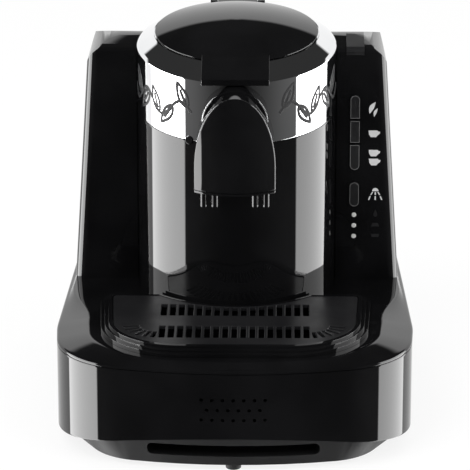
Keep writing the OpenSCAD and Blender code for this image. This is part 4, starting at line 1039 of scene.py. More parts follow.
# ======== the drip tray ========
@dataclass
class DripTray:
    """The tray with its stepped rim, and the slotted grille that lies in it."""

    front_gap: float = 16.0
    rear_drop: float = 44.0
    half: float = 94.5
    taper: float = 6.0
    corner_r: float = 56.0
    ear_r: float = 12.0
    hollow_gap: float = 1.2
    hollow_share: float = 0.45
    rim: float = 6.6
    steps: int = 16
    grille_gap: float = 8.6
    border_w: float = 2.4
    row_back: float = 44.3
    rows_apart: float = 20.5
    rear_length: float = 22.0
    slots_a_side: int = 8
    slot_pitch: float = 6.1
    slot_half: Pair = (2.0, 11.0)
    fan_count: int = 6
    fan_r: float = 18.5
    fan_back: float = 2.0
    fan_half: Pair = (1.3, 5.5)

    def ring(self, gap: float, height: float) -> Ring:
        """The tray's outline, hollowed round the column, at an inward gap and a height.

        Args:
            gap: The distance inwards.
            height: The height.

        Returns:
            The ring's points.
        """
        front, rear = SIZE.front_y + self.front_gap, SIZE.column_y - self.rear_drop
        plan = traced(mirrored([
            (self.half - self.taper, front, self.corner_r), (self.half, rear, self.ear_r),
        ]), gap, self.steps)
        radius = SIZE.column_r + self.hollow_gap + gap * self.hollow_share
        end = math.asin((self.rear_drop + gap) / radius)
        half_row = 2 * (self.steps + 1)
        hollow = []
        arc = 40
        for k in range(arc + 1):
            angle = -end - (math.pi - 2 * end) * k / arc
            hollow.append(Vector((radius * math.cos(angle), SIZE.column_y + radius * math.sin(angle))))
        points = plan[:half_row] + hollow + plan[half_row:]
        return [Vector((*p, height)) for p in points]

    def tray(self) -> bpy.types.Object:
        """Models the tray as one shell, from its floor over the stepped rim to its underside.

        Returns:
            The tray.
        """
        z = SIZE.deck_z
        top = z + self.rim
        ledge = corners("drip_grille")[0].z - 0.1
        floor = corners("drip_tray")[0].z
        profile = [
            (11.2, floor + 2.2), (11.2, ledge), (8.2, ledge), (8.2, top - 0.12), (8.08, top),
            (5.36, top), (5.24, top - 0.04), (5.2, top - 0.16), (5.2, z + 5.08),
            (2.76, z + 5.08), (2.64, z + 5.04), (2.6, z + 4.92), (2.6, z + 2.97),
            (0.16, z + 2.97), (0.04, z + 2.93), (0.0, z + 2.81), (0.0, z + 0.1),
            (9.0, z + 0.1), (9.0, floor),
        ]
        tray = loft("tray_shell", [self.ring(gap, height) for gap, height in profile])
        smooth(tray, 40.0)
        return finish_piece(tray, "gloss_black", "tray", ("drip_tray",))

    @staticmethod
    def slot(x: float, y: float, half_w: float, half_l: float, turn: float = 0.0) -> bpy.types.Object:
        """A cutter for one slot, which widens towards the top so that the slot's edge is chamfered.

        Args:
            x: The slot's middle.
            y: The slot's middle.
            half_w: Half its width.
            half_l: Half its length.
            turn: Its turn in degrees from lying front to back.

        Returns:
            The cutter.
        """
        low, high = (corner.z for corner in corners("drip_grille"))
        corner_r = 0.8
        rings = []
        for grow, height in ((0.0, low - 1), (0.0, high - 0.4), (0.5, high + 0.1)):
            right, rear = half_w + grow, half_l + grow
            plan = traced(mirrored([(right, -rear, corner_r), (right, rear, corner_r)]), 0.0, 3)
            spin = Matrix.Rotation(math.radians(turn), 2)
            rings.append([Vector((*(spin @ point + Vector((x, y))), height)) for point in plan])
        return loft("slot", rings)

    def grille(self) -> bpy.types.Object:
        """Models the grille: two rows of slots across and a fan of slots round each front corner.

        Returns:
            The grille.
        """
        low, high = (corner.z for corner in corners("drip_grille"))
        front_row = SIZE.front_y + self.front_gap + self.row_back
        rear_row = front_row + self.rows_apart
        border = SIZE.column_r + self.hollow_gap + self.grille_gap * self.hollow_share + self.border_w
        half_w, half_l = self.slot_half
        cutters = []
        for i in range(-self.slots_a_side, self.slots_a_side + 1):
            x = i * self.slot_pitch
            cutters.append(self.slot(x, front_row - half_l, half_w, half_l))
            end = min(rear_row + self.rear_length, SIZE.column_y - math.sqrt(border * border - x * x))
            cutters.append(self.slot(x, (rear_row + end) / 2, half_w, (end - rear_row) / 2))
        for side in (-1, 1):
            for i in range(self.fan_count):
                angle = math.radians(90 / self.fan_count * (i + 0.5))
                x = side * ((self.slots_a_side + 0.5) * self.slot_pitch + self.fan_r * math.sin(angle))
                y = front_row + self.fan_back - self.fan_r * math.cos(angle)
                cutters.append(self.slot(x, y, *self.fan_half, side * math.degrees(angle)))
        gap = self.grille_gap
        grille = loft("grille_plate", [
            self.ring(inset, height)
            for inset, height in ((gap + 0.4, low), (gap, low + 0.4), (gap, high - 0.35), (gap + 0.35, high))
        ])
        combine(grille, joined("slots", cutters), Join.CUT)
        smooth(grille)
        return finish_piece(grille, "satin_black", "grille", ("drip_grille",))

    def build(self) -> None:
        """Builds the tray and the grille."""
        self.tray()
        self.grille()


# ======== the brewing column ========
@dataclass
class Column:
    """The round column, the chrome collar with its relief, and the hinged lid."""

    bore: float = 2.5
    seam: float = 0.3
    rebate_h: float = 3.5
    mouth_inset: float = 7.0
    ledge_h: float = 7.0
    count: int = 160
    barrel_w: float = 28.0
    barrel_r: float = 3.5
    hinge_out: float = 4.5
    hinge_drop: float = 3.5
    lug_w: float = 5.0
    lug_gap: float = 0.3
    stud_hole_r: float = 3.0
    dome_rise: float = 9.0
    lid_wall: float = 2.6
    lid_gap: float = 0.3
    skirt_inset: float = 1.4
    tab_w: float = 46.0
    tab_back: float = 14.0
    tab_reach: float = 19.5
    tab_drop: float = 4.6
    tab_lip: float = 4.5

    def upright(self, radius: float, height: Varying) -> Ring:
        """A ring of the column, at a height that may follow the tilt.

        Args:
            radius: The ring's radius.
            height: The height, or a function of a point's x and y.

        Returns:
            The ring's points.
        """
        ring = []
        for x, y in circle(radius, self.count):
            place = y + SIZE.column_y
            ring.append(Vector((x, place, height(x, place) if callable(height) else height)))
        return ring

    def turned(self, radius: float, height: float) -> Ring:
        """A ring round the axis of the tilted rim."""
        return [SIZE.from_rim(x, y, height) for x, y in circle(radius, self.count)]

    def shell(self) -> bpy.types.Object:
        """Models the column with its edge along the tilted seam.

        Returns:
            The column.
        """
        def level(drop: float) -> Callable[[float, float], float]:
            """The height of the tilted seam less a drop."""
            return lambda x, y: SIZE.tilted_z(SIZE.band_z - self.seam - drop, y)

        outer, inner = SIZE.column_r, SIZE.column_r - self.bore
        shell = loft("column_gloss", [
            self.upright(inner, SIZE.deck_z),
            self.upright(outer - 0.3, SIZE.deck_z),
            self.upright(outer, SIZE.deck_z + 0.3),
            self.upright(outer, SIZE.deck_z + 0.8),
            self.upright(outer, level(0.9)),
            self.upright(outer, level(0.35)),
            self.upright(outer - 0.1, level(0.1)),
            self.upright(outer - 0.35, level(0.0)),
            self.upright(inner, level(0.0)),
        ], Ends.LOOPED)
        self._cut_stud(shell)
        smooth(shell)
        return finish_piece(shell, "gloss_black", "base", ("column_shell",))

    def _cut_stud(self, piece: bpy.types.Object) -> None:
        """Cuts the hole of the round stud.

        Args:
            piece: The piece that is cut.
        """
        low, high = corners("collar_stud")
        middle = (low + high) / 2
        inwards = (Vector((0, SIZE.column_y, middle.z)) - middle).normalized()
        hole = rod("stud_hole", middle - inwards * 9, middle + inwards * 9, self.stud_hole_r, 40)
        combine(piece, hole, Join.CUT)

    def bevel_meets(self, angle: float) -> float:
        """The height above the rim's centre at which the bevel meets the upright band.

        Args:
            angle: The direction from the axis.

        Returns:
            The height.
        """
        across, along = SIZE.column_r * math.cos(angle), SIZE.column_r * math.sin(angle)
        height = 0.0
        for _ in range(6):
            depth = along * math.cos(SIZE.tilt) + height * math.sin(SIZE.tilt)
            fall = (math.hypot(across, depth) - SIZE.rim_r) * SIZE.bevel_h / SIZE.bevel_w
            height = (along * math.sin(SIZE.tilt) - fall) / math.cos(SIZE.tilt)
        return height

    def collar(self) -> bpy.types.Object:
        """Models the chrome collar: band, bevel, rebate, mouth and hinge lugs.

        Returns:
            The collar.
        """
        def below_bevel(drop: float) -> Callable[[float, float], float]:
            """The upper edge of the band less a drop."""
            return lambda x, y: SIZE.rim_z + self.bevel_meets(math.atan2(y - SIZE.column_y, x)) - drop

        def above_seam(rise: float) -> Callable[[float, float], float]:
            """The lower edge of the band plus a rise."""
            return lambda x, y: SIZE.tilted_z(SIZE.band_z + rise, y)

        outer, inner = SIZE.column_r, SIZE.column_r - self.bore
        rim, mouth = SIZE.rim_r, SIZE.rim_r - self.mouth_inset
        slope = SIZE.bevel_h / SIZE.bevel_w
        collar = loft("chrome_band", [
            self.upright(inner, above_seam(0.0)),
            self.upright(outer - 0.35, above_seam(0.0)),
            self.upright(outer - 0.1, above_seam(0.1)),
            self.upright(outer, above_seam(0.35)),
            self.upright(outer, above_seam(0.9)),
            self.upright(outer, below_bevel(1.2)),
            self.upright(outer, below_bevel(0.7)),
            self.upright(outer - 0.08, below_bevel(0.4)),
            self.turned(outer - 1.1, -slope * (outer - 1.1 - rim)),
            self.turned(outer - 1.6, -slope * (outer - 1.6 - rim)),
            self.turned(rim + 1.7, -slope * 1.7),
            self.turned(rim + 1.2, -slope * 1.2),
            self.turned(rim + 0.7, -slope * 0.7 - 0.05),
            self.turned(rim + 0.4, -slope * 0.4 - 0.35),
            self.turned(rim + 0.4, -self.rebate_h),
            self.turned(mouth + 0.3, -self.rebate_h),
            self.turned(mouth, -self.rebate_h - 0.3),
            self.turned(mouth, -self.ledge_h - self.rebate_h),
            self.turned(inner - 0.5, -self.ledge_h - self.rebate_h),
        ], Ends.LOOPED)
        self._cut_stud(collar)
        half, rise = self.barrel_w / 2 + self.lug_gap, rim + 11
        plan = ((-half, rim - 3), (half, rim - 3), (half, rise), (-half, rise))
        notch = loft("notch", [
            [SIZE.from_rim(x, y, z) for x, y in plan]
            for z in (-self.hinge_drop - self.barrel_r - 0.8, 20.0)
        ])
        combine(collar, notch, Join.CUT)
        for side in (-1, 1):
            start = side * half
            combine(collar, self._barrel("lug", start, start + side * self.lug_w, 0.6), Join.ADD)
        smooth(collar)
        return finish_piece(collar, "collar_chrome", "base", ("chrome_collar",))

    def _barrel(self, name: str, x0: float, x1: float, reach: float) -> bpy.types.Object:
        """A hinge barrel in the rim's frame with a flat foot towards the rim.

        Args:
            name: The barrel's name.
            x0: One end.
            x1: The other end.
            reach: How far the foot reaches, in the barrel's radii.

        Returns:
            The barrel.
        """
        rings = []
        centre_y, centre_z = SIZE.rim_r + self.hinge_out, -self.hinge_drop
        for x in (min(x0, x1), max(x0, x1)):
            arc = [
                (centre_y + self.barrel_r * math.sin(a), centre_z + self.barrel_r * math.cos(a))
                for a in (math.radians(15 * k) for k in range(13))
            ]
            foot = [(centre_y - self.barrel_r * reach, centre_z - self.barrel_r),
                    (centre_y - self.barrel_r * reach, centre_z + self.barrel_r)]
            rings.append([SIZE.from_rim(x, y, z) for y, z in arc + foot])
        return loft(name, rings)

    def dome_z(self, radius: float) -> float:
        """The height of the lid's dome above the rim.

        Args:
            radius: The distance from the axis.

        Returns:
            The height.
        """
        edge = SIZE.rim_r - self.lid_gap
        sphere = (edge * edge + self.dome_rise ** 2) / (2 * self.dome_rise)
        return 0.6 + self.dome_rise - sphere + math.sqrt(sphere * sphere - radius * radius)

    def lid(self) -> bpy.types.Object:
        """Models the domed lid with its finger tab and hinge barrel.

        Returns:
            The lid.
        """
        edge = SIZE.rim_r - self.lid_gap
        skirt = edge - self.skirt_inset
        hollow = skirt - self.lid_wall
        steps = 12
        inside = [
            (radius, self.dome_z(radius) - self.lid_wall)
            for radius in (hollow * k / steps for k in range(1, steps))
        ]
        outside = [
            (radius, self.dome_z(radius)) for radius in (edge * k / steps for k in range(steps - 1, 0, -1))
        ]
        profile = [(1.2, self.dome_z(0) - self.lid_wall), *inside, (hollow, -self.rebate_h + 0.3),
                   (skirt - 0.3, -self.rebate_h + 0.3), (skirt, -self.rebate_h + 0.6), (edge - 0.1, 0.0),
                   (edge, 0.25), (edge - 0.12, 0.55), (edge - 0.6, self.dome_z(edge - 0.6)),
                   *outside, (1.2, self.dome_z(1.2))]
        lid = loft("lid_dome", [self.turned(radius, height) for radius, height in profile])
        combine(lid, self._tab(), Join.ADD)
        combine(lid, self._barrel("lid_barrel", -self.barrel_w / 2, self.barrel_w / 2, 1.9), Join.ADD)
        smooth(lid)
        return finish_piece(lid, "gloss_black", "lid", ("lid",))

    def _tab(self) -> bpy.types.Object:
        """The finger tab: level over the lid, then down over the bevel to a lip.

        Returns:
            The tab.
        """
        rim, back = SIZE.rim_r, -SIZE.rim_r + self.tab_back
        front, drop, lip = -rim - self.tab_reach, -self.tab_drop, -self.tab_drop - self.tab_lip
        profile = [
            (back, 0.4), (back, 2.1), (-rim, 1.1), (front, drop), (front, lip),
            (front + 4, lip), (front + 4, drop - 2.4), (-rim - 0.4, 0.1),
        ]
        sides = (-self.tab_w / 2, self.tab_w / 2)
        tab = loft("tab", [[SIZE.from_rim(x, y, z) for y, z in profile] for x in sides])
        soften(tab, 0.3, 3, 25.0)
        return tab

    def build(self) -> None:
        """Builds the column."""
        self.shell()
        self.collar()
        self.lid()
        CollarRelief().build()
        for node, width in (
            ("collar_stud", 0.4), ("lid_inner_plate", 0.4), ("lid_gasket", 0.0), ("lid_hinge_pin", 0.4),
            ("brew_pot", 0.35),
        ):
            dressed_copy(node, width)


@dataclass
class CollarRelief:
    """A running leaf line in fine relief on both sides of the chrome band, coloured dark as painted shade
    instead of chrome.
    """

    line_reach: Pair = (1.25, 0.3)
    sink: float = 0.04
    start: float = 31.0
    end: float = 101.0
    middle_rise: float = 19.5
    swing: float = 6.5
    wave: float = 35.0
    leaf_length: float = 18.5
    leaf_width: float = 7.0
    tip_bend: float = 1.6
    first_leaf: float = 3.0
    leaves_apart: float = 0.36
    vein_bend: float = 0.006
    leans: tuple[float, ...] = (58.0, -58.0, 60.0, -60.0, 56.0)

    def on_band(self, along: float, rise: float) -> Vector:
        """The point of the band at a distance round from the front and a height over the seam.

        Args:
            along: The distance round, positive to the right.
            rise: The height over the seam.

        Returns:
            The point.
        """
        angle = along / SIZE.column_r
        radius = SIZE.column_r - self.sink
        y = SIZE.column_y - radius * math.cos(angle)
        return Vector((radius * math.sin(angle), y, SIZE.tilted_z(SIZE.band_z + rise, y)))

    def stem_at(self, along: float) -> Place:
        """The stem's place: a wave along the middle of the band."""
        return along, self.middle_rise + self.swing * math.sin(math.tau * (along - self.start) / self.wave)

    def line(self, name: str, places: list[Place], side: int, ends: Ends) -> bpy.types.Object:
        """Lays a fine ribbon on the band through flat places, on the left or right side.

        Args:
            name: The ribbon's name.
            places: The places along and above the seam.
            side: -1 for the left and 1 for the right.
            ends: Whether the path is open or a loop.

        Returns:
            The ribbon.
        """
        path = [self.on_band(side * s, rise) for s, rise in places]
        axis = Vector((0, SIZE.column_y, 0))
        outwards = [Vector((p.x, p.y - axis.y, 0)).normalized() for p in path]
        return ribbon(name, path, outwards, self.line_reach, ends)

    def leaf(self, root: Place, lean: float) -> list[Place]:
        """A pointed leaf on a root, leaning by an angle in degrees, with a bent tip.

        Args:
            root: Where the leaf starts.
            lean: Its angle in degrees.

        Returns:
            The leaf's outline.
        """
        steps = 14
        turn = math.radians(lean)
        outline = []
        for side, order in ((1, range(steps)), (-1, range(steps, 0, -1))):
            for k in order:
                share = k / steps
                length = self.leaf_length * share
                width = side * self.leaf_width / 2 * math.sin(math.pi * share ** 0.8)
                width += self.tip_bend * share ** 2
                outline.append((
                    root[0] + length * math.cos(turn) - width * math.sin(turn),
                    root[1] + length * math.sin(turn) + width * math.cos(turn),
                ))
        return outline

    def build(self) -> None:
        """Builds the stem, leaves and veins on both sides and joins them."""
        lines = []
        count = 46
        stem = [self.stem_at(self.start + (self.end - self.start) * k / count) for k in range(count + 1)]
        for side in (-1, 1):
            lines.append(self.line("stem", stem, side, Ends.CAPPED))
            for i, lean in enumerate(self.leans):
                root = self.stem_at(self.start + self.first_leaf + i * self.wave * self.leaves_apart)
                lines.append(self.line("leaf", self.leaf(root, lean), side, Ends.LOOPED))
                turn = math.radians(lean)
                vein = [
                    (root[0] + s * math.cos(turn) - self.vein_bend * s * s * math.sin(turn),
                     root[1] + s * math.sin(turn) + self.vein_bend * s * s * math.cos(turn))
                    for s in (self.leaf_length * (0.16 + 0.09 * k) for k in range(7))
                ]
                lines.append(self.line("vein", vein, side, Ends.CAPPED))
        relief = joined("collar_leaf_line", lines)
        smooth(relief, 60.0)
        # The relief is coloured dark instead of chrome: painted shade along its lines.
        finish_piece(relief, "collar_chrome", "base", finish=RELIEF_PAINTED_SHADE)


# ======== the spout ========
@dataclass
class Spout:
    """The arched spout cover, the round neck behind it and the four nozzles."""

    width: float = 55.2
    top: float = 241.7
    foot: float = 173.0
    straight: float = 17.0
    reach: float = 33.0
    face_r: float = 45.0
    wall: float = 2.0
    neck_r: float = 22.5
    neck_z: float = 219.5
    neck_reach: float = 15.0
    edge_round: float = 0.7
    fit: float = 0.3

    def face_y(self, x: float, depth: float = 0.0) -> float:
        """The front of the cover at x, moved back by a depth."""
        return SIZE.column_front - self.reach + self.face_r - math.sqrt((self.face_r - depth) ** 2 - x * x)

    def column_y(self, x: float, gap: float) -> float:
        """The front of the column at x, moved forward by a gap."""
        return SIZE.column_y - math.sqrt((SIZE.column_r + gap) ** 2 - x * x)

    def arch(self, gap: float, bottom: float) -> list[Place]:
        """The cover's upright outline as x and z: straight sides under half an ellipse.

        Args:
            gap: The distance inwards.
            bottom: The height of the foot.

        Returns:
            The outline.
        """
        half, side_top = self.width / 2 - gap, self.foot + self.straight
        height = self.top - side_top - gap
        points = [(-half + 2 * half * k / 20, bottom) for k in range(20)]
        points += [(half, bottom + (side_top - bottom) * k / 4) for k in range(4)]
        points += [
            (half * math.cos(math.pi * k / 56), side_top + height * math.sin(math.pi * k / 56))
            for k in range(56)
        ]
        points += [(-half, side_top + (bottom - side_top) * k / 4) for k in range(4)]
        return points

    def form(self, name: str, gap: float, back: float) -> bpy.types.Object:
        """A solid with the cover's outline and curved face, moved inwards by a gap.

        Args:
            name: The solid's name.
            gap: The distance inwards.
            back: The depth of its rear.

        Returns:
            The solid.
        """
        low = self.foot - 4
        rings = [[Vector((x, back, z)) for x, z in self.arch(gap, low)]]
        edge = self.edge_round if gap == 0 else 0.4
        for inset, sunk in ((0.0, edge), (0.12 * edge, 0.5 * edge), (0.45 * edge, 0.13 * edge), (edge, 0.0)):
            outline = self.arch(gap + inset, low)
            rings.append([Vector((x, self.face_y(x, gap) + sunk, z)) for x, z in outline])
        steps = 9
        for k in range(1, steps + 1):
            inset = gap + edge + (self.width / 2 - gap - edge - 1.0) * k / steps
            outline = self.arch(inset, low + (self.straight + 3) * k / steps)
            rings.append([Vector((x, self.face_y(x, gap), z)) for x, z in outline])
        return loft(name, rings)

    def plan(self, gap: float, height: float) -> Ring:
        """The cover's level outline near its foot, moved inwards by a gap, at a height.

        Args:
            gap: The distance inwards.
            height: The height.

        Returns:
            The ring's points.
        """
        half, back = self.width / 2 - gap, SIZE.column_front + 8 - gap
        corner = max(self.edge_round - gap, 0.2)
        side = [(half, back)]
        for k in range(7):
            angle = math.pi / 2 * k / 6
            inset = corner * (1 - math.cos(angle))
            side.append((half - inset, self.face_y(half - inset, gap) + corner * (1 - math.sin(angle))))
        reach = half - corner
        face = [(reach * (1 - k / 16), self.face_y(reach * (1 - k / 16), gap)) for k in range(1, 17)]
        right = side + face
        left = [(-x, y) for x, y in reversed(right[:-1])]
        return [Vector((x, y, height)) for x, y in right + left]

    def cover(self) -> bpy.types.Object:
        """Models the cover as a shell that is open below and hollowed for the neck.

        Returns:
            The cover.
        """
        neck_y = SIZE.column_front - self.neck_reach - self.fit
        cover = self.form("spout_hood", 0.0, SIZE.column_front + 8)
        hollow = self.form("hollow", self.wall, SIZE.column_front + 12)
        behind = block("behind", Vector((-99, neck_y, self.foot + 44)), Vector((99, 99, 300)))
        combine(hollow, behind, Join.CUT)
        combine(cover, hollow, Join.CUT)
        axis = Vector((0, SIZE.column_y, 100))
        column = rod("column", axis, axis + Vector((0, 0, 200)), SIZE.column_r + self.fit, 192)
        combine(cover, column, Join.CUT)
        combine(cover, block("below", Vector((-99, -150, 100)), Vector((99, 99, self.foot))), Join.CUT)
        for profile in (
            ((-4.0, -2.0), (0.4, -2.0), (0.4, 0.0), (0.12, 0.1), (-0.02, 0.4), (-4.0, 0.4)),
            ((-4.0, 1.2), (-0.02, 1.2), (0.12, 1.5), (0.4, 1.62), (0.8, 1.62),
             (0.8, 2.1), (0.4, 2.1), (0.12, 2.22), (-0.02, 2.55), (-4.0, 2.55)),
        ):
            groove = loft("groove", [self.plan(gap, self.foot + rise) for gap, rise in profile], Ends.LOOPED)
            combine(cover, groove, Join.CUT)
        start = Vector((0, neck_y, self.neck_z))
        combine(cover, rod("neck", start, start + Vector((0, 99, 0)), self.neck_r + self.fit, 96), Join.CUT)
        smooth(cover)
        return finish_piece(cover, "gloss_black", "base", ("spout_cover",))

    def neck(self) -> bpy.types.Object:
        """Models the round neck with a rounded front edge.

        Returns:
            The neck.
        """
        front = SIZE.column_front - self.neck_reach
        count = 96

        def ring(radius: float, place: Varying) -> Ring:
            """A ring round the neck's axis, at a depth that may follow the column."""
            return [
                Vector((x, place(x, 0.0) if callable(place) else place, self.neck_z + z))
                for x, z in circle(radius, count)
            ]

        def column(x: float, _z: float) -> float:
            """The depth at which the neck meets the column."""
            return self.column_y(x, 0.05)

        outer, inner = self.neck_r, self.neck_r - 3
        neck = loft("neck_gloss", [
            ring(inner, front + 3), ring(inner, column), ring(outer, column), ring(outer, front + 1.5),
            ring(outer - 0.2, front + 0.7), ring(outer - 0.7, front + 0.2), ring(outer - 1.5, front),
            ring(outer * 0.5, front),
        ])
        smooth(neck)
        return finish_piece(neck, "gloss_black", "base", ("spout_neck",))

    def build(self) -> None:
        """Builds the spout."""
        self.cover()
        self.neck()
        dressed_copy("spout_manifold", 0.3)
        dressed_copy("nozzles", 0.25)


# ======== housing, tank and controls ========
@dataclass
class Controls:
    """The keys with pale lines round their faces, which are a painted highlight of the keys' edges, and the
    printed pictograms beside them.
    """

    key_names: tuple[str, ...] = ("roast_button", "one_cup_button", "two_cup_button", "rinse_button")
    edge_highlight_w: float = 0.3
    edge_highlight_inset: float = 0.12
    print_t: float = 0.12
    roast_leaves: tuple[tuple[Place, Place, float], ...] = (
        ((6.8, 122.9), (11.0, 131.5), 1.6), ((10.0, 120.6), (12.4, 127.0), 1.0),
    )
    cups: tuple[tuple[float, float, float, float], ...] = (
        (6.2, 110.7, 8.1, 4.9), (6.5, 96.4, 8.1, 4.7), (6.7, 89.9, 8.1, 4.9),
    )
    rinse_at: Place = (11.6, 65.8)
    rinse_cap: Pair = (2.3, 2.5)
    rinse_rays: tuple[tuple[float, float, float, float], ...] = (
        (65.2, 63.1, 1.9, 3.1), (62.2, 59.4, 3.6, 4.6),
    )
    ray_half: float = 0.5
    faint_x: float = 11.8
    drop_at: float = 49.6
    drop_half: Pair = (1.9, 2.8)
    faint_bars: tuple[tuple[Pair, Pair], ...] = (((2.8, 39.6), (1.9, 42.2)), ((3.0, 34.0), (2.4, 31.8)))

    @property
    def face_y(self) -> float:
        """The front face of the wing."""
        return SIZE.column_y

    def outline(self, node: str, grow: float) -> list[Place]:
        """A key's outline as x and z, grown by a distance, round where the key is round.

        Args:
            node: The key's node.
            grow: The distance outwards.

        Returns:
            The outline.
        """
        low, high = corners(node)
        body_low, body_high = self.key_front(node)
        middle, half = (low.x + high.x) / 2, (body_high.x - body_low.x) / 2
        round_low = node in ("two_cup_button", "rinse_button")
        round_high = node in ("roast_button", "rinse_button")
        reach = half + grow
        points = []
        for up, rounded in ((1, round_high), (-1, round_low)):
            z = body_high.z - half if up > 0 else body_low.z + half
            for k in range(13):
                angle = math.pi * k / 12 + (0 if up > 0 else math.pi)
                x, rise = math.cos(angle), math.sin(angle)
                if rounded:
                    points.append((middle + reach * x, z + reach * rise))
                else:
                    scale = reach / max(abs(x), abs(rise))
                    points.append((middle + x * scale, z + rise * scale))
        return points

    def key_front(self, node: str) -> tuple[Vector, Vector]:
        """The corners of the part of a key that stands in front of the wing.

        Args:
            node: The key's node.

        Returns:
            The lowest and highest corner.
        """
        front = [v.co / MM for v in frame["nodes"][node].data.vertices if v.co.y / MM < self.face_y - 0.5]
        low = Vector(tuple(min(p[i] for p in front) for i in range(3)))
        high = Vector(tuple(max(p[i] for p in front) for i in range(3)))
        return low, high

    def edge_highlight_line(self, node: str) -> bpy.types.Object:
        """Models the fine pale line along the edge of a key's face, which rides on the key and is a painted
        highlight of that edge.

        Args:
            node: The key's node.

        Returns:
            The line.
        """
        def ring(grow: float, y: float) -> Ring:
            """One edge of the line."""
            return [Vector((x, y, z)) for x, z in self.outline(node, grow)]

        outer, inner = -self.edge_highlight_inset, -self.edge_highlight_inset - self.edge_highlight_w
        face = self.key_front(node)[0].y
        front, back = face - 0.05, face + 0.4
        line = loft(f"{node}_line", [
            ring(inner, back), ring(inner, front), ring(outer, front), ring(outer, back),
        ], Ends.LOOPED)
        # The pale line is a painted highlight of the key's edge.
        return finish_piece(line, "button_grey", frame["nodes"][node]["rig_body"], finish=KEY_EDGE_HIGHLIGHT)

    def plate(self, places: list[Place]) -> bpy.types.Object:
        """A printed shape on the wing's face, as a thin plate."""
        return loft("plate", [
            [Vector((x, y, z)) for x, z in places] for y in (self.face_y + 0.05, self.face_y - self.print_t)
        ])

    def bar(self, start: Place, half: float, end: Place, end_half: float) -> bpy.types.Object:
        """A printed bar between two places, with half its width at either end."""
        (x0, z0), (x1, z1) = start, end
        return self.plate([(x0 - half, z0), (x0 + half, z0), (x1 + end_half, z1), (x1 - end_half, z1)])

    @staticmethod
    def leaf(root: Place, tip: Place, bulge: float) -> list[Place]:
        """A pointed leaf from its root to its tip.

        Args:
            root: Where the leaf starts.
            tip: Where it ends.
            bulge: The leaf's fullness.

        Returns:
            The leaf's outline.
        """
        (x0, z0), (x1, z1) = root, tip
        length = math.hypot(x1 - x0, z1 - z0)
        across = (-(z1 - z0) / length, (x1 - x0) / length)
        points = []
        for side, order in ((1, range(9)), (-1, range(9, 1, -1))):
            for k in order:
                share = (k if side > 0 else k - 1) / 9 + (0 if side > 0 else 0.11)
                width = side * bulge * math.sin(math.pi * share) + bulge * 0.5 * math.sin(math.pi * share)
                points.append((
                    x0 + (x1 - x0) * share + across[0] * width,
                    z0 + (z1 - z0) * share + across[1] * width,
                ))
        return points

    @staticmethod
    def cup(left: float, top: float, width: float, height: float) -> list[Place]:
        """A small cup seen from the side, with its handle at the right.

        Args:
            left: Its left edge.
            top: Its upper edge.
            width: Its width with the handle.
            height: Its height.

        Returns:
            The cup's outline.
        """
        right = left + width * 0.8
        return [
            (left, top), (right, top), (right + width * 0.04, top - height * 0.16),
            (left + width, top - height * 0.18), (left + width * 0.98, top - height * 0.5),
            (right + width * 0.02, top - height * 0.66), (left + width * 0.66, top - height),
            (left + width * 0.2, top - height), (left + width * 0.05, top - height * 0.6),
        ]

    def prints(self) -> None:
        """Prints the pictograms: roast, one cup, two cups and rinse, with three faint ones below."""
        x, z = self.key_front("roast_button")[1].x, SIZE.deck_z
        plates = [
            self.plate(self.leaf((x + root[0], z + root[1]), (x + tip[0], z + tip[1]), bulge))
            for root, tip, bulge in self.roast_leaves
        ]
        plates += [self.plate(self.cup(x + left, z + top, *reach)) for left, top, *reach in self.cups]
        middle, cap_z = x + self.rinse_at[0], z + self.rinse_at[1]
        cap_w, cap_h = self.rinse_cap
        plates.append(self.plate([
            (middle + cap_w * math.cos(a), cap_z + cap_h * math.sin(a))
            for a in (math.pi * k / 12 for k in range(13))
        ]))
        for high, low, start, end in self.rinse_rays:
            for side in (-1, 0, 1):
                upper, lower = (middle + side * start, z + high), (middle + side * end, z + low)
                plates.append(self.bar(upper, self.ray_half, lower, self.ray_half))
        finish_piece(joined("pictograms", plates), "lens_white", "base", finish=PRINT)
        faint_x, drop_z = x + self.faint_x, z + self.drop_at
        drop_w, drop_h = self.drop_half
        faint = [self.plate([
            (faint_x + drop_w * math.sin(a) * math.sin(a / 2) ** 1.4, drop_z + drop_h * math.cos(a))
            for a in (math.tau * k / 24 for k in range(24))
        ])]
        for (half, height), (end_half, end_height) in self.faint_bars:
            faint.append(self.bar((faint_x, z + height), half, (faint_x, z + end_height), end_half))
        finish_piece(joined("faint_pictograms", faint), "part_dark", "base", finish=FAINT_PRINT)

    def build(self) -> None:
        """Builds the keys, the painted highlight lines on their edges and the prints."""
        for node in self.key_names:
            dressed_copy(node, 0.25, 2)
            self.edge_highlight_line(node)
        dressed_copy("indicator_lenses", 0.4, 3)
        self.prints()


class Housing:
    """The wings beside the column, and the lift-off tank behind with its lid and handle bar."""

    def build(self) -> None:
        """Dresses the housing and the tank."""
        for node, width in (
            ("housing_front", 0.45), ("tank_lid", 0.45), ("tank_lid_tab", 0.25), ("tank_handle", 0.45),
            ("water_tank", 0.5), ("tank_hinge_pin", 0.3), ("tank_valve", 0.25), ("inlet_socket", 0.25),
            ("power_switch_frame", 0.3), ("power_rocker", 0.4), ("cord_gland", 0.5),
        ):
            dressed_copy(node, width)


class Inside:
    """The working parts behind the covers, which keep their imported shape."""

    def build(self) -> None:
        """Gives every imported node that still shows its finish."""
        for name, node in frame["nodes"].items():
            if node.hide_render:
                continue
            material = FINISHES[NODE_SLOTS[name]].material()
            if not node.material_slots:
                node.data.materials.append(material)
            for place in node.material_slots:
                place.material = material
            log.info("%s: packed shape, %s", name, material.name)


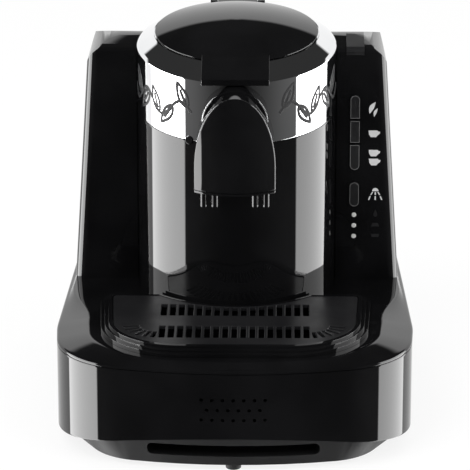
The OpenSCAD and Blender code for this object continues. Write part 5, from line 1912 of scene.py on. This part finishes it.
# ======== studio ========
@dataclass
class Studio:
    """The floor, the light and the camera."""

    elevation: float = math.radians(19.0)
    azimuth: float = math.radians(0.8)
    distance: float = 2200.0
    aim: tuple[float, float, float] = (0.1, -53.0, 142.0)
    lens: float = 247.8
    left_panel: tuple[float, float, float] = (61.7, 115.0, 7.7)
    right_panel: tuple[float, float, float] = (74.0, 126.0, 5.5)
    overhead: Pair = (28.0, 31.0)
    soft_edge: float = 1.2
    ambient: float = 0.62
    floor_glow: float = 1.06
    floor_glow_share: float = 0.8
    lamp_list: tuple[tuple[str, tuple[float, float, float], float, float], ...] = (
        ("key_lamp", (-0.9, -1.1, 1.7), 1.4, 20.0), ("fill_lamp", (1.3, -0.8, 1.3), 1.6, 11.0),
    )

    def camera(self) -> None:
        """Places the camera."""
        bpy.ops.object.camera_add()
        camera = bpy.context.object
        camera.data.lens = self.lens
        camera.data.clip_start, camera.data.clip_end = 0.1, 20.0
        back = Vector((
            math.sin(self.azimuth) * math.cos(self.elevation),
            -math.cos(self.azimuth) * math.cos(self.elevation),
            math.sin(self.elevation),
        ))
        camera.location = (Vector(self.aim) + back * self.distance) * MM
        camera.rotation_euler = (-back).to_track_quat("-Z", "Y").to_euler()
        bpy.context.scene.camera = camera

    def _panels(self, tree: Tree) -> bpy.types.NodeSocket:
        """Paints what gloss and metal reflect: two tall panels, a pale rear and a dark front and top.

        Args:
            tree: The world's tree.

        Returns:
            The strength by direction.
        """
        split = tree.add("ShaderNodeSeparateXYZ", {0: tree.add("ShaderNodeTexCoord").outputs["Generated"]})
        x, y, z = split.outputs
        around = tree.sum("ARCTAN2", tree.sum("ABSOLUTE", x), tree.sum("MULTIPLY", y, -1.0))
        around = tree.sum("DEGREES", around)
        rise = tree.sum("DEGREES", tree.sum("ARCSINE", z))
        soft = self.soft_edge

        def side(panel: tuple[float, float, float]) -> bpy.types.NodeSocket:
            """The strength round one side, from the dark front over the panel to the pale rear.

            Args:
                panel: Where the panel starts and ends, in degrees round from the front, and its strength.

            Returns:
                The strength by direction.
            """
            start, end, strength = panel
            front = tree.step(around, 10.0, start, 0.02, 0.11)
            lit = tree.step(around, start - soft, start + soft)
            rear = tree.step(around, end - soft, end + soft)
            on_panel = tree.sum("MULTIPLY_ADD", lit, tree.sum("SUBTRACT", strength, front), front)
            return tree.sum("MULTIPLY_ADD", rear, tree.sum("SUBTRACT", 1.0, on_panel), on_panel)

        right = tree.sum("GREATER_THAN", x, 0.0)
        sides = tree.add("ShaderNodeMix", {0: right, 2: side(self.left_panel), 3: side(self.right_panel)})
        above = tree.step(rise, *self.overhead)
        return tree.add("ShaderNodeMix", {0: above, 2: sides.outputs[0], 3: 0.03}).outputs[0]

    def world(self) -> None:
        """Builds the world: white to the camera, soft to matte surfaces, panels to gloss and metal."""
        world = bpy.data.worlds.new("studio")
        world.use_nodes = True
        bpy.context.scene.world = world
        tree = Tree(world.node_tree)
        path = tree.add("ShaderNodeLightPath")
        seen = tree.sum("MAXIMUM", path.outputs["Is Camera Ray"], path.outputs["Is Transmission Ray"])
        plain = tree.add("ShaderNodeBackground", {"Color": (1, 1, 1, 1), "Strength": self.ambient})
        panels = tree.add("ShaderNodeBackground", {"Color": (1, 1, 1, 1), "Strength": self._panels(tree)})
        white = tree.add("ShaderNodeBackground", {"Color": (1, 1, 1, 1), "Strength": 1.0})
        glossy = tree.add("ShaderNodeMixShader", {
            0: path.outputs["Is Glossy Ray"], 1: plain.outputs[0], 2: panels.outputs[0],
        })
        whole = tree.add("ShaderNodeMixShader", {0: seen, 1: glossy.outputs[0], 2: white.outputs[0]})
        tree.add("ShaderNodeOutputWorld", {0: whole.outputs[0]})

    def floor(self) -> None:
        """Lays the floor: white where nothing shades it, and open to reflections."""
        deselect()
        bpy.ops.mesh.primitive_plane_add(size=12.0)
        floor = bpy.context.object
        floor.name = "studio_floor"
        material = bpy.data.materials.new("floor_white")
        material.use_nodes = True
        tree = Tree(material.node_tree)
        path = tree.add("ShaderNodeLightPath")
        lit = tree.add("ShaderNodeBsdfDiffuse", {"Color": (0.9, 0.9, 0.9, 1)})
        glow = tree.add("ShaderNodeEmission", {"Color": (1, 1, 1, 1), "Strength": self.floor_glow})
        mixed = tree.add("ShaderNodeMixShader", {
            0: self.floor_glow_share, 1: lit.outputs[0], 2: glow.outputs[0],
        })
        shown = tree.add("ShaderNodeMixShader", {
            0: path.outputs["Is Camera Ray"], 1: lit.outputs[0], 2: mixed.outputs[0],
        })
        clear = tree.add("ShaderNodeBsdfTransparent")
        whole = tree.add("ShaderNodeMixShader", {
            0: path.outputs["Is Glossy Ray"], 1: shown.outputs[0], 2: clear.outputs[0],
        })
        tree.add("ShaderNodeOutputMaterial", {0: whole.outputs[0]})
        floor.data.materials.append(material)

    def lamps(self) -> None:
        """Hangs two soft lamps that light matte surfaces and cast the shadow."""
        for name, place, size, power in self.lamp_list:
            deselect()
            bpy.ops.object.light_add(type="AREA", location=place)
            lamp = bpy.context.object
            lamp.name = name
            lamp.data.size = size
            lamp.data.energy = power
            lamp.rotation_euler = (-Vector(place)).to_track_quat("-Z", "Y").to_euler()
            lamp.visible_glossy = False

    def build(self) -> None:
        """Builds the studio."""
        scene = bpy.context.scene
        scene.view_settings.view_transform = "Standard"
        deselect()
        self.camera()
        self.world()
        self.floor()
        self.lamps()


def main() -> None:
    logging.basicConfig(level=logging.INFO, format="%(name)s: %(message)s")
    Studio().build()
    tray = DripTray()
    Base().build(tray.ring)
    tray.build()
    Column().build()
    Spout().build()
    Housing().build()
    Controls().build()
    Inside().build()


if __name__ == "__main__":
    main()
